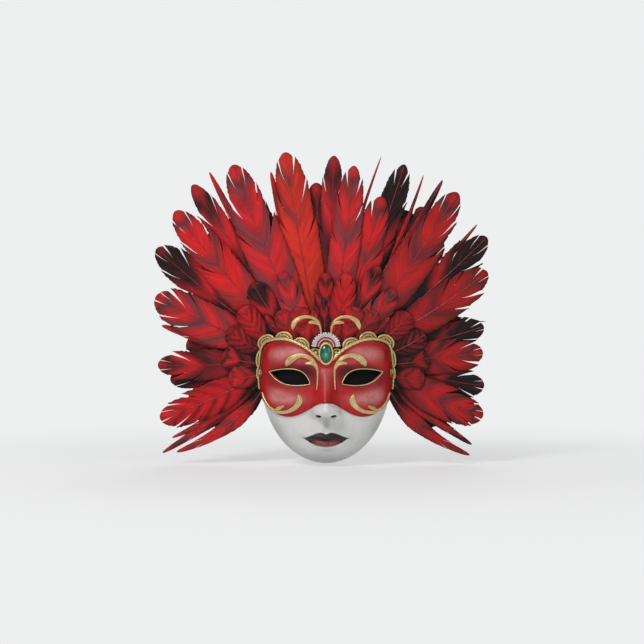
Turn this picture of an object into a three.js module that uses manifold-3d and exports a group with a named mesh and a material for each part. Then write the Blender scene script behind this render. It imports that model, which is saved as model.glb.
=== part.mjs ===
// Venetian masquerade mask: a papier-mache face with a red half mask over it,
// gold trim, a green cabochon on a lace rosette, and a fan of dyed feathers.
// Millimetres, +Z up. The face looks along -Y, the eye line is z = 0, the mask
// is symmetric about x = 0, and the rim that rests on the wearer lies in y = 0.
import * as THREE from "three";
import { mergeVertices } from "three/addons/utils/BufferGeometryUtils.js";
import Module from "manifold-3d";

const wasm = await Module();
wasm.setup();

// ---------------------------------------------------------------- dimensions
const FACE_HALF_WIDTH = 82.5; // rim to centre line at the eyes
const CHIN_DROP = 110; // eye line to chin
const CROWN_RISE = 140; // eye line to where the head's oval would close
const FACE_DEPTH = 50; // rim plane to the brow
const FACE_POWER = 2.3; // over 2: the front of the face is flatter than an egg
const SHELL = 2.5; // papier-mache
const HALF_MASK = 1.5; // lacquered overlay
const GAP = 0.35; // glue line between pieces that rest on each other
const TOP = GAP + HALF_MASK; // shell surface to half mask surface
const FACE_CENTRE = -5; // height that the face meshes fan out from
const SHELL_MESH = [48, 13]; // spokes and rings of the faceted surface
const OVERLAY_MESH = [40, 7];
const OVERLAY_SIDE = 0.9993; // the overlay stops just short of the shell's rim
const OVERLAY_TOP = 0.985; // and of its top edge

const NOSE_TOP = 14; // where the bridge meets the brow
const NOSE_TIP = -41;
// Height of the nose's ridge over the face, at heights from the bridge to the lip.
const NOSE_RIDGE = [
  [14, 0],
  [4, 4.5],
  [-12, 12],
  [-27, 19],
  [-36, 23.4],
  [-41, 24.2],
  [-45.5, 20],
  [-48.5, 10],
  [-51, 3.2],
  [-55, 0],
];
const CORD_RADIUS = { top: 2, side: 0.9 };
const CORD_START = 7; // arc length from the centre of the rim
const CORD_THINS = 78;
const CORD_THINNING = 30;
const BRAID_RADIUS = 1.2;
const RELIEF_HEIGHT = 2.2; // gold scrolls over the lacquer
const CABOCHON = { z: 30.2, halfWidth: 8.7, halfHeight: 13.8, back: -53.1 };
const ROSETTE = { z: 38.8, radius: 18, band: 12.9, core: 8.7, front: -52.2, depth: 2 };
const CREST = { front: -49.6, depth: 2.6 };
const EYELET = { y: -10, z: 6, hole: 4, barrel: 4.7, flange: 7, plate: 0.8 };
const BAND = { margin: 8, least: 27, width: 28, thickness: 1.5, foot: -14 };
const PAD = { from: 52, inset: 2, width: 15, thickness: 8 };

// Scallops of gold braid: where each starts and ends along the rim, and its rise.
const SCALLOPS = [
  [11, 20.5, 5],
  [29.5, 48.5, 9],
  [51.5, 70.5, 9.4],
  [73, 91, 8.6],
  [93.5, 114, 3.6],
  [115, 129, 1.8],
];

// Gold scrolls of the right side: x, z and width along each stem and each curl.
const BROW_STEM = [
  [9.6, -15, 0.8],
  [9.2, -2, 1.4],
  [10.2, 9.6, 2.8],
  [14, 18.4, 4],
  [20.6, 25, 4.4],
  [30.6, 27.6, 4.8],
  [40.6, 24.6, 7],
  [46.6, 19.6, 7],
  [48.2, 14.8, 0.9],
];
const BROW_CURL = [
  [10.6, 11.4, 1.6],
  [14.5, 16.8, 4],
  [19.5, 19, 4.2],
  [26, 18.6, 1.8],
];
const CHEEK_STEM = [
  [78.4, -19, 0.8],
  [75.6, -28.6, 2],
  [69.4, -37.4, 3.4],
  [59.4, -42.2, 3.8],
  [47.6, -41.6, 4.2],
  [37.6, -36, 5.8],
  [32.6, -28.4, 7.4],
  [34, -20.6, 2],
];
const CHEEK_CURL = [
  [63, -40.6, 2.4],
  [57.4, -37.6, 4.4],
  [51.2, -34.8, 2],
];
const CREST_STEM = [
  [6.2, 49, 2.6],
  [6.5, 59, 2.2],
  [8, 65.4, 2.6],
  [12, 71.8, 3.2],
  [19.4, 75.4, 3.6],
  [29.2, 75.4, 4.2],
  [37.4, 70.8, 6],
  [40.8, 65, 5.4],
  [41.2, 59.6, 0.9],
];
const CREST_CURL = [
  [8.3, 65.6, 1.8],
  [12.6, 68.2, 3.8],
  [17.2, 69, 4.2],
  [22.2, 68.4, 1.9],
];

const FAN = {
  side: 2, // depth of the fan behind the temples
  front: 42, // how much further forward it lies over the brow
  turnFrom: 12, // degrees above the eye line where it starts forward
  turnOver: 58,
  pitch: 2.6, // between layers of feathers
  layers: 6,
  rootPitch: 0.6, // share of the pitch that is left at the roots
  curlSide: 16, // how far the tips bend forward
  curlTop: 8,
};

// Long feathers from the wearer's lower right, over the top, to the lower left,
// then the short ones in front: tip x and z, root angle, width, bow and layer.
const FEATHERS = [
  [-190, -96, 188, 20, 13, 3],
  [-208, -97, 182, 18, 4, 4],
  [-211, -53, 173, 42, 6, 2],
  [-199, -4, 170, 34, 3, 5],
  [-214, 15, 164, 40, 4, 3],
  [-209, 65, 158, 22, 3, 4],
  [-215, 102, 151, 50, 6, 2],
  [-213, 162, 145, 48, 4, 3],
  [-189, 208, 137, 48, 4, 2],
  [-167, 241, 130, 36, 0, 4],
  [-146, 257, 125, 20, 2, 5],
  [-116, 265, 118, 54, 4, 2],
  [-69, 257, 107, 22, 2, 5],
  [-51, 281, 100, 50, 2, 3],
  [10, 277, 90, 36, 0, 4],
  [35, 264, 82, 38, -2, 2],
  [70, 226, 74, 44, -2, 3],
  [98, 266, 69, 38, -3, 4],
  [146, 247, 58, 22, -2, 5],
  [164, 231, 52, 50, -4, 2],
  [202, 176, 41, 46, -4, 3],
  [203, 133, 34, 46, -5, 2],
  [201, 64, 25, 40, -4, 4],
  [200, 31, 18, 44, -4, 3],
  [202, -12, 12, 40, -4, 4],
  [200, -50, 7, 44, -6, 2],
  [190, -52, 4, 46, -2, 5],
  [186, -87, -1, 18, -4, 4],
  [183, -100, -8, 20, -13, 3],
  [-55, 131, 116, 32, 2, 0],
  [87, 110, 62, 32, -2, 0],
  [0, 131, 92, 28, 0, 1],
  [27, 131, 78, 30, -1, 0],
];

// -------------------------------------------------------------- small helpers
const clamp01 = (v) => Math.min(1, Math.max(0, v));
const degrees = (v) => (v * Math.PI) / 180;
const lerp = THREE.MathUtils.lerp;

function smooth(v) {
  const t = clamp01(v);
  return t * t * (3 - 2 * t);
}

function bump(x, z, cx, cz, rx, rz) {
  return Math.exp(-(((x - cx) / rx) ** 2) - ((z - cz) / rz) ** 2);
}

// A smooth curve through [position, value] knots, in falling order of position.
function through(knots, position) {
  const last = knots.length - 1;
  if (position >= knots[0][0]) return knots[0][1];
  if (position <= knots[last][0]) return knots[last][1];
  const i = knots.findIndex((knot) => knot[0] <= position) - 1;
  const slope = (j) => {
    const [before, after] = [knots[Math.max(0, j - 1)], knots[Math.min(last, j + 1)]];
    return j === 0 || j === last ? 0 : (after[1] - before[1]) / (after[0] - before[0]);
  };
  const [[x0, y0], [x1, y1]] = [knots[i], knots[i + 1]];
  const span = x1 - x0;
  const t = (position - x0) / span;
  const rise = (2 * t ** 3 - 3 * t ** 2 + 1) * y0 + (3 * t ** 2 - 2 * t ** 3) * y1;
  const bend = (t ** 3 - 2 * t ** 2 + t) * slope(i) + (t ** 3 - t ** 2) * slope(i + 1);
  return rise + span * bend;
}

// A closed solid from points and triangles, turned outwards if it has to be.
function solid(points, triangles) {
  const geometry = new THREE.BufferGeometry().setFromPoints(points);
  geometry.setIndex(triangles.flat());
  return solidOf(geometry);
}

function solidOf(source) {
  const geometry = source.clone();
  geometry.deleteAttribute("normal");
  geometry.deleteAttribute("uv");
  const merged = mergeVertices(geometry, 1e-4);
  const make = (triVerts) =>
    new wasm.Manifold(
      new wasm.Mesh({
        numProp: 3,
        vertProperties: new Float32Array(merged.attributes.position.array),
        triVerts: new Uint32Array(triVerts),
      }),
    );
  const order = Array.from(merged.index.array);
  const made = make(order);
  return made.volume() > 0 ? made : make(order.reverse());
}

function largest(shape) {
  return shape.decompose().reduce((a, b) => (a.volume() > b.volume() ? a : b));
}

function geometryOf(shape) {
  const mesh = shape.getMesh();
  const flat = mesh.vertProperties;
  const geometry = new THREE.BufferGeometry();
  geometry.setAttribute("position", new THREE.BufferAttribute(new Float32Array(flat), 3));
  geometry.setIndex(Array.from(mesh.triVerts));
  return geometry;
}

// Sections of equal length joined in order, with a cap at both ends. From the
// side turnsAt on, quads are split along their other diagonal, so that the two
// faces of a thin, curved piece stay parallel.
function loft(sections, turnsAt = Infinity) {
  const sides = sections[0].length;
  const triangles = [];
  for (let i = 0; i + 1 < sections.length; i++)
    for (let j = 0; j < sides; j++) {
      const a = i * sides + j;
      const b = i * sides + ((j + 1) % sides);
      const [c, d] = [a + sides, b + sides];
      if (j < turnsAt) triangles.push([a, b, d], [a, d, c]);
      else triangles.push([a, b, c], [b, d, c]);
    }
  const last = (sections.length - 1) * sides;
  for (let j = 1; j + 1 < sides; j++) {
    triangles.push([0, j + 1, j]);
    triangles.push([last, last + j, last + j + 1]);
  }
  return solid(sections.flat(), triangles);
}

// A round tube along points, whose radius is a function of 0 to 1 along it.
function tube(points, radiusAt, sides, closed = false) {
  const count = points.length;
  const sections = points.map((p, i) => {
    const before = points[closed ? (i + count - 1) % count : Math.max(0, i - 1)];
    const after = points[closed ? (i + 1) % count : Math.min(count - 1, i + 1)];
    const along = after.clone().sub(before).normalize();
    const across = new THREE.Vector3(0, 1, 0).cross(along).normalize();
    const up = along.clone().cross(across);
    const radius = radiusAt(i / (count - 1));
    return Array.from({ length: sides }, (_, j) => {
      const turn = (2 * Math.PI * j) / sides;
      return p
        .clone()
        .addScaledVector(across, radius * Math.cos(turn))
        .addScaledVector(up, radius * Math.sin(turn));
    });
  });
  return closed ? ring(sections) : loft(sections);
}

// Sections joined in order and back to the first one.
function ring(sections) {
  const sides = sections[0].length;
  const triangles = [];
  sections.forEach((_, i) => {
    const here = i * sides;
    const next = ((i + 1) % sections.length) * sides;
    for (let j = 0; j < sides; j++) {
      const k = (j + 1) % sides;
      triangles.push([here + j, here + k, next + k], [here + j, next + k, next + j]);
    }
  });
  return solid(sections.flat(), triangles);
}

// Two faces that fan out from a centre to a shared edge, closed along that edge.
// front and back give the point at a column and at 0 (centre) to 1 (edge).
function dish(columns, frontRings, backRings, front, back) {
  const points = [front(0, 0), back(0, 0)];
  const triangles = [];
  const lay = (at, rings, turned) => {
    const first = points.length;
    for (let i = 1; i <= rings; i++)
      for (let j = 0; j < columns; j++) points.push(at(j, i / rings));
    const put = (a, b, c) => triangles.push(turned ? [a, c, b] : [a, b, c]);
    for (let j = 0; j < columns; j++) {
      const k = (j + 1) % columns;
      put(turned ? 1 : 0, first + j, first + k);
      for (let i = 1; i < rings; i++) {
        const inner = first + (i - 1) * columns;
        const outer = first + i * columns;
        put(inner + j, outer + j, outer + k);
        put(inner + j, outer + k, inner + k);
      }
    }
    return first + (rings - 1) * columns;
  };
  const frontEdge = lay(front, frontRings, false);
  const backEdge = lay(back, backRings, true);
  for (let j = 0; j < columns; j++) {
    const k = (j + 1) % columns;
    triangles.push([frontEdge + j, backEdge + j, frontEdge + k]);
    triangles.push([frontEdge + k, backEdge + j, backEdge + k]);
  }
  return solid(points, triangles);
}

// A flat shape drawn in x and z, standing from y = front backwards.
function plate(shape, front, depth) {
  const geometry = new THREE.ExtrudeGeometry(shape, {
    depth,
    bevelEnabled: false,
    curveSegments: 10,
  });
  geometry.rotateX(Math.PI / 2);
  geometry.translate(0, front + depth, 0);
  return solidOf(geometry);
}

// ----------------------------------------------------------- the face surface
// Share of the way from the middle of the oval (0) to its rim (1).
function ovalShare(x, z) {
  const half = z < 0 ? CHIN_DROP : CROWN_RISE;
  return Math.hypot(x / FACE_HALF_WIDTH, z / half);
}

// How far the features stand out from the plain oval.
function features(x, z) {
  const side = Math.abs(x);
  const down = clamp01((NOSE_TOP - z) / (NOSE_TOP - NOSE_TIP));
  const nose = through(NOSE_RIDGE, z) * Math.exp(-((x / (7 + 5 * down)) ** 2));
  const wings = 7 * bump(side, z, 11.5, -42.5, 6, 5);
  const socket = -8 * bump(side, z, 42, 2, 27, 14);
  const lids = 4.5 * bump(side, z, 43, 0, 19, 9);
  const brow = 3 * bump(side, z, 38, 24, 30, 9);
  const cheek = 4 * bump(side, z, 48, -32, 24, 18);
  const muzzle = 6 * bump(x, z, 0, -76, 28, 17);
  const chin = 5 * bump(x, z, 0, -97, 20, 11);
  return nose + wings + socket + lids + brow + cheek + muzzle + chin;
}

function lips(x, z) {
  const reach = (half) => Math.max(0, 1 - (x / half) ** 2);
  const upper = 3.2 * reach(27) * Math.exp(-(((z + 74.4) / 3.2) ** 2));
  const lower = 4.2 * reach(24) * Math.exp(-(((z + 82.4) / 3.6) ** 2));
  const seam = -1.6 * reach(27) * Math.exp(-(((z + 78.6) / 1.3) ** 2));
  return upper + lower + seam;
}

function faceY(x, z, withLips) {
  const share = Math.min(1, ovalShare(x, z));
  const oval = FACE_DEPTH * Math.sqrt(1 - share ** FACE_POWER);
  const fade = 1 - share ** 8;
  return -oval - fade * (features(x, z) + (withLips ? lips(x, z) : 0));
}

// The unit normal of the face, outwards, which is radial at the rim.
function faceNormal(x, z) {
  const step = 0.4;
  const limit = 0.998 / Math.max(0.998, ovalShare(x, z));
  const px = x * limit - Math.sign(x) * step;
  const pz = z * limit - Math.sign(z) * step;
  const dx = (faceY(px + step, pz, false) - faceY(px - step, pz, false)) / (2 * step);
  const dz = (faceY(px, pz + step, false) - faceY(px, pz - step, false)) / (2 * step);
  return new THREE.Vector3(dx, -1, dz).normalize();
}

// The point at a height over the shell's outer surface.
function onFace(x, z, height, withLips = false) {
  return new THREE.Vector3(x, faceY(x, z, withLips), z).addScaledVector(
    faceNormal(x, z),
    height,
  );
}

// ------------------------------------------------------------------- outlines
// Top edge of the half mask from the centre dip to the temple, right side.
const TOP_EDGE = new THREE.SplineCurve(
  [
    [0, 17],
    [5.4, 18.6],
    [14, 25.5],
    [27, 35.6],
    [42, 43.2],
    [54.5, 45.6],
    [66, 44.6],
    [74.8, 40.8],
    [78.6, 34.6],
    [80.5, 26],
    [81.7, 16],
    [82.4, 5],
  ].map(([x, z]) => new THREE.Vector2(x, z)),
);

// Lower edge of the half mask from the side to the bridge of the nose, right side.
const LOWER_EDGE = new THREE.SplineCurve(
  [
    [79.6, -29],
    [72, -38],
    [60, -45.5],
    [48, -48.5],
    [35, -46.3],
    [20, -38.6],
    [9, -32.2],
    [0, -30.6],
  ].map(([x, z]) => new THREE.Vector2(x, z)),
);

function ovalPoint(angle) {
  const half = Math.sin(angle) < 0 ? CHIN_DROP : CROWN_RISE;
  return new THREE.Vector2(FACE_HALF_WIDTH * Math.cos(angle), half * Math.sin(angle));
}

function ovalArc(from, to, steps) {
  return Array.from({ length: steps + 1 }, (_, i) => ovalPoint(lerp(from, to, i / steps)));
}

const TEMPLE = Math.asin(5 / CROWN_RISE); // oval angle where the top edge leaves the rim
const JAW_SIDE = -Math.asin(29 / CHIN_DROP); // and where the lower edge leaves it

// Right half of an outline, mirrored into a closed one that runs anticlockwise.
function mirrored(rightHalf) {
  const left = rightHalf.slice(1, -1).reverse();
  return [...rightHalf, ...left.map((p) => new THREE.Vector2(-p.x, p.y))];
}

const topEdge = TOP_EDGE.getSpacedPoints(50).reverse();
const faceOutline = mirrored([...ovalArc(-Math.PI / 2, TEMPLE, 60), ...topEdge.slice(1)]);
const halfOutline = mirrored([
  ...LOWER_EDGE.getSpacedPoints(40).reverse(),
  ...ovalArc(JAW_SIDE, TEMPLE, 20)
    .slice(1)
    .map((p) => p.multiplyScalar(OVERLAY_SIDE)),
  ...topEdge
    .slice(1)
    .map((p, i) => p.clone().multiplyScalar(lerp(OVERLAY_SIDE, OVERLAY_TOP, i / 50))),
]);

// Distance from a centre to an outline in the direction of an angle.
function reach(outline, centre, angle) {
  const direction = new THREE.Vector2(Math.cos(angle), Math.sin(angle));
  let found = 0;
  outline.forEach((p, i) => {
    const a = p.clone().sub(centre);
    const b = outline[(i + 1) % outline.length].clone().sub(centre);
    const edge = b.clone().sub(a);
    const cross = direction.cross(edge);
    if (Math.abs(cross) < 1e-9) return;
    const distance = a.cross(edge) / cross;
    const share = a.cross(direction) / cross;
    if (distance > 0 && share >= -1e-6 && share <= 1 + 1e-6)
      found = Math.max(found, distance);
  });
  return found;
}

// A shell over an outline, between two heights over the face.
function faceSheet(outline, centre, columns, rings, outer, inner, withLips = false, overhang = 0) {
  const spokes = Array.from({ length: columns }, (_, j) => {
    const angle = (2 * Math.PI * j) / columns;
    return { angle, length: reach(outline, centre, angle) };
  });
  const at = (column, share, height, lipsToo) => {
    const { angle, length } = spokes[column];
    const out = length * Math.sin((share * Math.PI) / 2) + (share === 1 ? overhang : 0);
    const x = centre.x + out * Math.cos(angle);
    const z = centre.y + out * Math.sin(angle);
    return onFace(x, z, height, lipsToo);
  };
  return dish(
    columns,
    rings,
    Math.ceil(rings / 2),
    (column, share) => at(column, share, outer, withLips),
    (column, share) => at(column, share, inner, false),
  );
}

// --------------------------------------------------------- eyes and nose holes
const EYE_CENTRE = new THREE.Vector2(44, 1);

// The almond eye opening, right side, scaled about its centre.
function eyeShape(scale) {
  const at = (x, z) => [lerp(EYE_CENTRE.x, x, scale), lerp(EYE_CENTRE.y, z, scale)];
  const shape = new THREE.Shape();
  shape.moveTo(...at(68.6, 7));
  shape.bezierCurveTo(...at(50, 13.2), ...at(27, 17.2), ...at(19.8, -7.8));
  shape.bezierCurveTo(...at(34, -10.7), ...at(56, -13.6), ...at(68.6, 7));
  return shape;
}

function mirrorX(shape) {
  return shape.mirror([1, 0, 0]);
}

function bothSides(shape) {
  return shape.add(mirrorX(shape));
}

const eyeCut = bothSides(plate(eyeShape(1), -90, 100));

function nostrilCut() {
  const shape = new THREE.Shape();
  shape.absellipse(9.2, -47, 3.6, 1.5, 0, 2 * Math.PI, false, degrees(12));
  return bothSides(plate(shape, -90, 100));
}

// --------------------------------------------------------------------- eyelets
// The side wall of the shell at the eyelet: where it is and which way it faces.
function sideWall() {
  let x = FACE_HALF_WIDTH * 0.8;
  while (faceY(x, EYELET.z, false) < EYELET.y) x += 0.01;
  return { point: onFace(x, EYELET.z, 0), axis: faceNormal(x, EYELET.z) };
}

const wall = sideWall();

// A turned piece about the eyelet's axis: profile points are radius and height
// over the shell's outer surface.
function turnedAtEyelet(profile) {
  const points = profile.map(([radius, height]) => new THREE.Vector2(radius, height));
  const geometry = new THREE.LatheGeometry([...points, points[0]], 18);
  const turn = new THREE.Quaternion().setFromUnitVectors(
    new THREE.Vector3(0, 1, 0),
    wall.axis,
  );
  geometry.applyQuaternion(turn);
  geometry.translate(wall.point.x, wall.point.y, wall.point.z);
  return solidOf(geometry);
}

function eyeletCut() {
  const radius = EYELET.barrel + GAP;
  const drill = new THREE.CylinderGeometry(radius, radius, 30, 24);
  const turn = new THREE.Quaternion().setFromUnitVectors(
    new THREE.Vector3(0, 1, 0),
    wall.axis,
  );
  drill.applyQuaternion(turn);
  drill.translate(wall.point.x, wall.point.y, wall.point.z);
  return bothSides(solidOf(drill));
}

function eyelet() {
  const seat = TOP + 2 * GAP;
  const back = -SHELL - 2.2;
  return turnedAtEyelet([
    [EYELET.hole, back],
    [EYELET.barrel, back],
    [EYELET.barrel, seat],
    [EYELET.flange, seat],
    [EYELET.flange, seat + EYELET.plate * 0.6],
    [EYELET.flange - 0.8, seat + EYELET.plate],
    [EYELET.hole + 0.5, seat + EYELET.plate],
    [EYELET.hole, seat + EYELET.plate * 0.5],
  ]);
}

function washer() {
  const front = -SHELL - 1.4;
  return turnedAtEyelet([
    [EYELET.barrel + GAP, front - EYELET.plate],
    [EYELET.flange, front - EYELET.plate],
    [EYELET.flange, front],
    [EYELET.barrel + GAP, front],
  ]);
}

// ----------------------------------------------------------- shell, half mask
const holes = eyeCut.add(eyeletCut());
const origin2 = new THREE.Vector2(0, FACE_CENTRE);
const shellSheet = (outer, inner, overhang) =>
  faceSheet(faceOutline, origin2, ...SHELL_MESH, outer, inner, true, overhang);
const overlaySheet = (outer, inner) =>
  faceSheet(halfOutline, origin2, ...OVERLAY_MESH, outer, inner);
const faceShell = shellSheet(0, -SHELL, 0).subtract(holes).subtract(nostrilCut());

// The half mask starts inside the shell and is cut back to a glue line over it.
const shellClearance = shellSheet(GAP * 1.5, -SHELL - 4, 1);
const halfMask = largest(overlaySheet(TOP, -1).subtract(shellClearance).subtract(holes));
const halfClearance = overlaySheet(TOP + GAP, -6);

function eyeScreen() {
  const outline = eyeShape(1.17).getSpacedPoints(60);
  const front = -SHELL - 2 * GAP;
  return faceSheet(outline, EYE_CENTRE, 20, 3, front, front - 0.8);
}

// ------------------------------------------------------------------ gold trim
// The half mask's upper rim from the centre dip over the temple to the jaw side.
const rim = [...topEdge.slice().reverse(), ...ovalArc(TEMPLE, -0.14, 24).slice(1)];
const rimLengths = rim.reduce((sum, p, i) => {
  sum.push(i ? sum[i - 1] + p.distanceTo(rim[i - 1]) : 0);
  return sum;
}, []);

// Point, outward direction and depth on the rim at an arc length from the centre.
function rimAt(length) {
  let i = rimLengths.findIndex((l) => l >= length);
  i = Math.max(1, i < 0 ? rim.length - 1 : i);
  const share = (length - rimLengths[i - 1]) / (rimLengths[i] - rimLengths[i - 1]);
  const point = rim[i - 1].clone().lerp(rim[i], clamp01(share));
  const back = rim[Math.max(0, i - 3)];
  const ahead = rim[Math.min(rim.length - 1, i + 2)];
  const along = ahead.clone().sub(back).normalize();
  const outward = new THREE.Vector2(-along.y, along.x);
  const normal = faceNormal(point.x, point.y);
  const lean = Math.max(0, normal.x * outward.x + normal.z * outward.y);
  return { point, outward, lean, y: faceY(point.x, point.y, false), facing: -normal.y };
}

// A point beside the rim: out from the lacquer's edge, and behind its surface.
function besideRim(length, out, behind) {
  const at = rimAt(length);
  const clear = TOP * at.lean + GAP + out;
  return new THREE.Vector3(
    at.point.x + at.outward.x * clear,
    at.y + behind,
    at.point.y + at.outward.y * clear,
  );
}

function spread(from, to, steps) {
  return Array.from({ length: steps + 1 }, (_, i) => lerp(from, to, i / steps));
}

const RIM_END = rimLengths[rimLengths.length - 1];

function cordRadius(length) {
  const side = smooth((length - CORD_THINS) / CORD_THINNING);
  return lerp(CORD_RADIUS.top, CORD_RADIUS.side, side);
}

function edgeCord() {
  const lengths = spread(CORD_START, RIM_END, 28);
  const points = lengths.map((l) => besideRim(l, cordRadius(l), -0.8));
  return tube(points, (t) => cordRadius(lerp(CORD_START, RIM_END, t)), 6);
}

// A point of the braid, which lies just behind the cord.
function besideBraid(length, rise) {
  return besideRim(length, BRAID_RADIUS + rise, cordRadius(length) + BRAID_RADIUS + 0.6);
}

function braidArch(from, to, rise, steps) {
  const middle = (from + to) / 2;
  const half = (to - from) / 2;
  const points = spread(0, Math.PI, steps).map((turn) =>
    besideBraid(middle - half * Math.cos(turn), rise * Math.sin(turn)),
  );
  return tube(points, () => BRAID_RADIUS, 4);
}

function scallopTrim() {
  const base = spread(10, RIM_END - 1, 20).map((length) => besideBraid(length, 0));
  const arches = SCALLOPS.map(([from, to, rise]) => braidArch(from, to, rise, 6));
  return largest(arches.reduce((sum, arch) => sum.add(arch), tube(base, () => BRAID_RADIUS, 4)));
}

function eyeRim() {
  const outline = eyeShape(1.035).getSpacedPoints(32).slice(0, -1);
  const points = outline.map((p) => onFace(p.x, p.y, TOP + GAP + 1.05));
  return tube(points, () => 0.8, 5, true);
}

// A tapering relief along x, z, width points, laid over a surface.
const LEAF_SECTION = [
  [-1, 0],
  [-0.62, 0.72],
  [0, 1],
  [0.62, 0.72],
  [1, 0],
];

function leaf(points, place) {
  const curve = new THREE.SplineCurve(points.map(([x, z]) => new THREE.Vector2(x, z)));
  const spans = points.length - 1;
  const sections = spread(0, 1, Math.round(spans * 1.6)).map((t) => {
    const middle = curve.getPoint(t);
    const along = curve.getTangent(t);
    const i = Math.min(spans - 1, Math.floor(t * spans));
    const half = lerp(points[i][2], points[i + 1][2], t * spans - i) / 2;
    const height = RELIEF_HEIGHT * Math.min(1, 0.45 + half / 4);
    return LEAF_SECTION.map(([side, rise]) =>
      place(middle.x - along.y * side * half, middle.y + along.x * side * half, rise * height),
    );
  });
  return loft(sections);
}

const overLacquer = (x, z, rise) => onFace(x, z, TOP + GAP * 0.6 + rise);
const overCrest = (x, z, rise) =>
  new THREE.Vector3(x, CREST.front + CREST.depth - 0.4 - rise, z);

function scroll(stem, curl, place) {
  return leaf(stem, place).add(leaf(curl, place));
}

// ------------------------------------------------------- cabochon and rosette
function turnedOval(profile, across, up) {
  const points = profile.map(([share, height]) => new THREE.Vector2(share, height));
  const geometry = new THREE.LatheGeometry(points, 24);
  geometry.scale(across, 1, up);
  geometry.rotateX(Math.PI);
  geometry.translate(0, CABOCHON.back, CABOCHON.z);
  return solidOf(geometry);
}

function gemBezel() {
  const profile = [
    [0, 0],
    [1, 0],
    [1, 2.8],
    [0.95, 3.5],
    [0.86, 3.5],
    [0.83, 1.4],
    [0, 1.4],
  ];
  return turnedOval(profile, CABOCHON.halfWidth, CABOCHON.halfHeight);
}

function gemCabochon() {
  const dome = spread(0, Math.PI / 2, 5).map((turn) => [
    0.79 * Math.cos(turn),
    2.6 + 3.6 * Math.sin(turn),
  ]);
  dome[dome.length - 1][0] = 0;
  return turnedOval([[0, 1.75], [0.79, 1.75], ...dome], CABOCHON.halfWidth, CABOCHON.halfHeight);
}

// Half a ring, or half a disc when inner is 0, with scallops on its outer edge.
function halfRing(outer, inner, scallops) {
  const shape = new THREE.Shape();
  const steps = Math.max(16, scallops * 4);
  const outline = spread(0, Math.PI, steps).map((turn) => {
    const wave = scallops ? 0.9 * Math.abs(Math.sin(turn * scallops)) : 0.9;
    const radius = outer - 0.9 + wave;
    return new THREE.Vector2(radius * Math.cos(turn), ROSETTE.z + radius * Math.sin(turn));
  });
  const inside = spread(Math.PI, 0, 12).map(
    (turn) => new THREE.Vector2(inner * Math.cos(turn), ROSETTE.z + inner * Math.sin(turn)),
  );
  shape.setFromPoints(inner ? [...outline, ...inside] : outline);
  return plate(shape, ROSETTE.front, ROSETTE.depth);
}

// ------------------------------------------------------------ fan of feathers
// Depth of the fan at x, z for a layer counted from the front.
function fanY(x, z, layer) {
  const angle = THREE.MathUtils.radToDeg(Math.atan2(z, Math.abs(x)));
  const radius = Math.hypot(x, z);
  const over = smooth((angle - FAN.turnFrom) / FAN.turnOver) ** 0.8;
  const curl = lerp(FAN.curlSide, FAN.curlTop, over) * clamp01((radius - 80) / 170) ** 2;
  const gap = FAN.pitch * lerp(FAN.rootPitch, 1, smooth((radius - 60) / 70));
  return FAN.side - FAN.front * over - curl + gap * layer;
}

// Inner edge of the feather band, as a distance from the middle of the eyes.
function bandInner(angle) {
  return Math.max(BAND.least, reach(faceOutline, new THREE.Vector2(0, 0), angle) - BAND.margin);
}

// Width of a vane as a share of its full width.
const VANE = new THREE.SplineCurve(
  [
    [0, 0.07],
    [0.07, 0.12],
    [0.2, 0.52],
    [0.38, 0.88],
    [0.62, 1],
    [0.82, 0.98],
    [0.94, 0.72],
    [1, 0.2],
  ].map(([t, w]) => new THREE.Vector2(t, w)),
);
const VANE_STEPS = 12;
const VANE_ACROSS = [-1, -0.5, 0, 0.5, 1, 0.5, 0, -0.5];
const VANE_SIDE = [0, -1, -1, -1, 0, 1, 1, 1]; // front face, edge, back face

function feather([tipX, tipZ, rootAngle, width, bow, layer]) {
  const angle = degrees(rootAngle);
  const out = bandInner(angle) + 3;
  const root = new THREE.Vector2(out * Math.cos(angle), out * Math.sin(angle));
  const tip = new THREE.Vector2(tipX, tipZ);
  const along = tip.clone().sub(root).normalize();
  const left = new THREE.Vector2(-along.y, along.x);
  const bend = root.clone().lerp(tip, 0.45).addScaledVector(left, 2 * bow);
  const spine = new THREE.QuadraticBezierCurve(root, bend, tip);
  const sections = spread(0, 1, VANE_STEPS).map((u) => {
    const { x: t, y: share } = VANE.getPoint(u);
    const middle = spine.getPoint(clamp01(t));
    const tangent = spine.getTangent(clamp01(t));
    const half = Math.max(1.2, (share * width) / 2);
    const thick = lerp(0.4, 0.6, smooth(t * 3));
    return VANE_ACROSS.map((side, i) => {
      const x = middle.x - tangent.y * side * half;
      const z = middle.y + tangent.x * side * half;
      return new THREE.Vector3(x, fanY(x, z, layer) + VANE_SIDE[i] * thick, z);
    });
  });
  return loft(sections, VANE_ACROSS.length / 2);
}

// A strip behind the roots, between two distances from the band's inner edge.
function rootStrip(fromAngle, steps, inset, width, gapBehind, thickness) {
  const sections = spread(fromAngle, 180 - fromAngle, steps).map((turn) => {
    const angle = degrees(turn);
    const inner = bandInner(angle) + inset;
    const at = (out, behind) => {
      const x = out * Math.cos(angle);
      const z = out * Math.sin(angle);
      return new THREE.Vector3(x, fanY(x, z, FAN.layers - 1) + behind, z);
    };
    const half = inner + width / 2;
    const outer = inner + width;
    const back = gapBehind + thickness;
    return [
      at(inner, gapBehind),
      at(half, gapBehind),
      at(outer, gapBehind),
      at(outer, back),
      at(half, back),
      at(inner, back),
    ];
  });
  return loft(sections);
}

const featherBand = rootStrip(BAND.foot, 36, 0, BAND.width, 1.4, BAND.thickness);
const foreheadPad = rootStrip(
  PAD.from,
  12,
  PAD.inset,
  PAD.width,
  1.4 + BAND.thickness + 3 * GAP,
  PAD.thickness,
);

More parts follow.
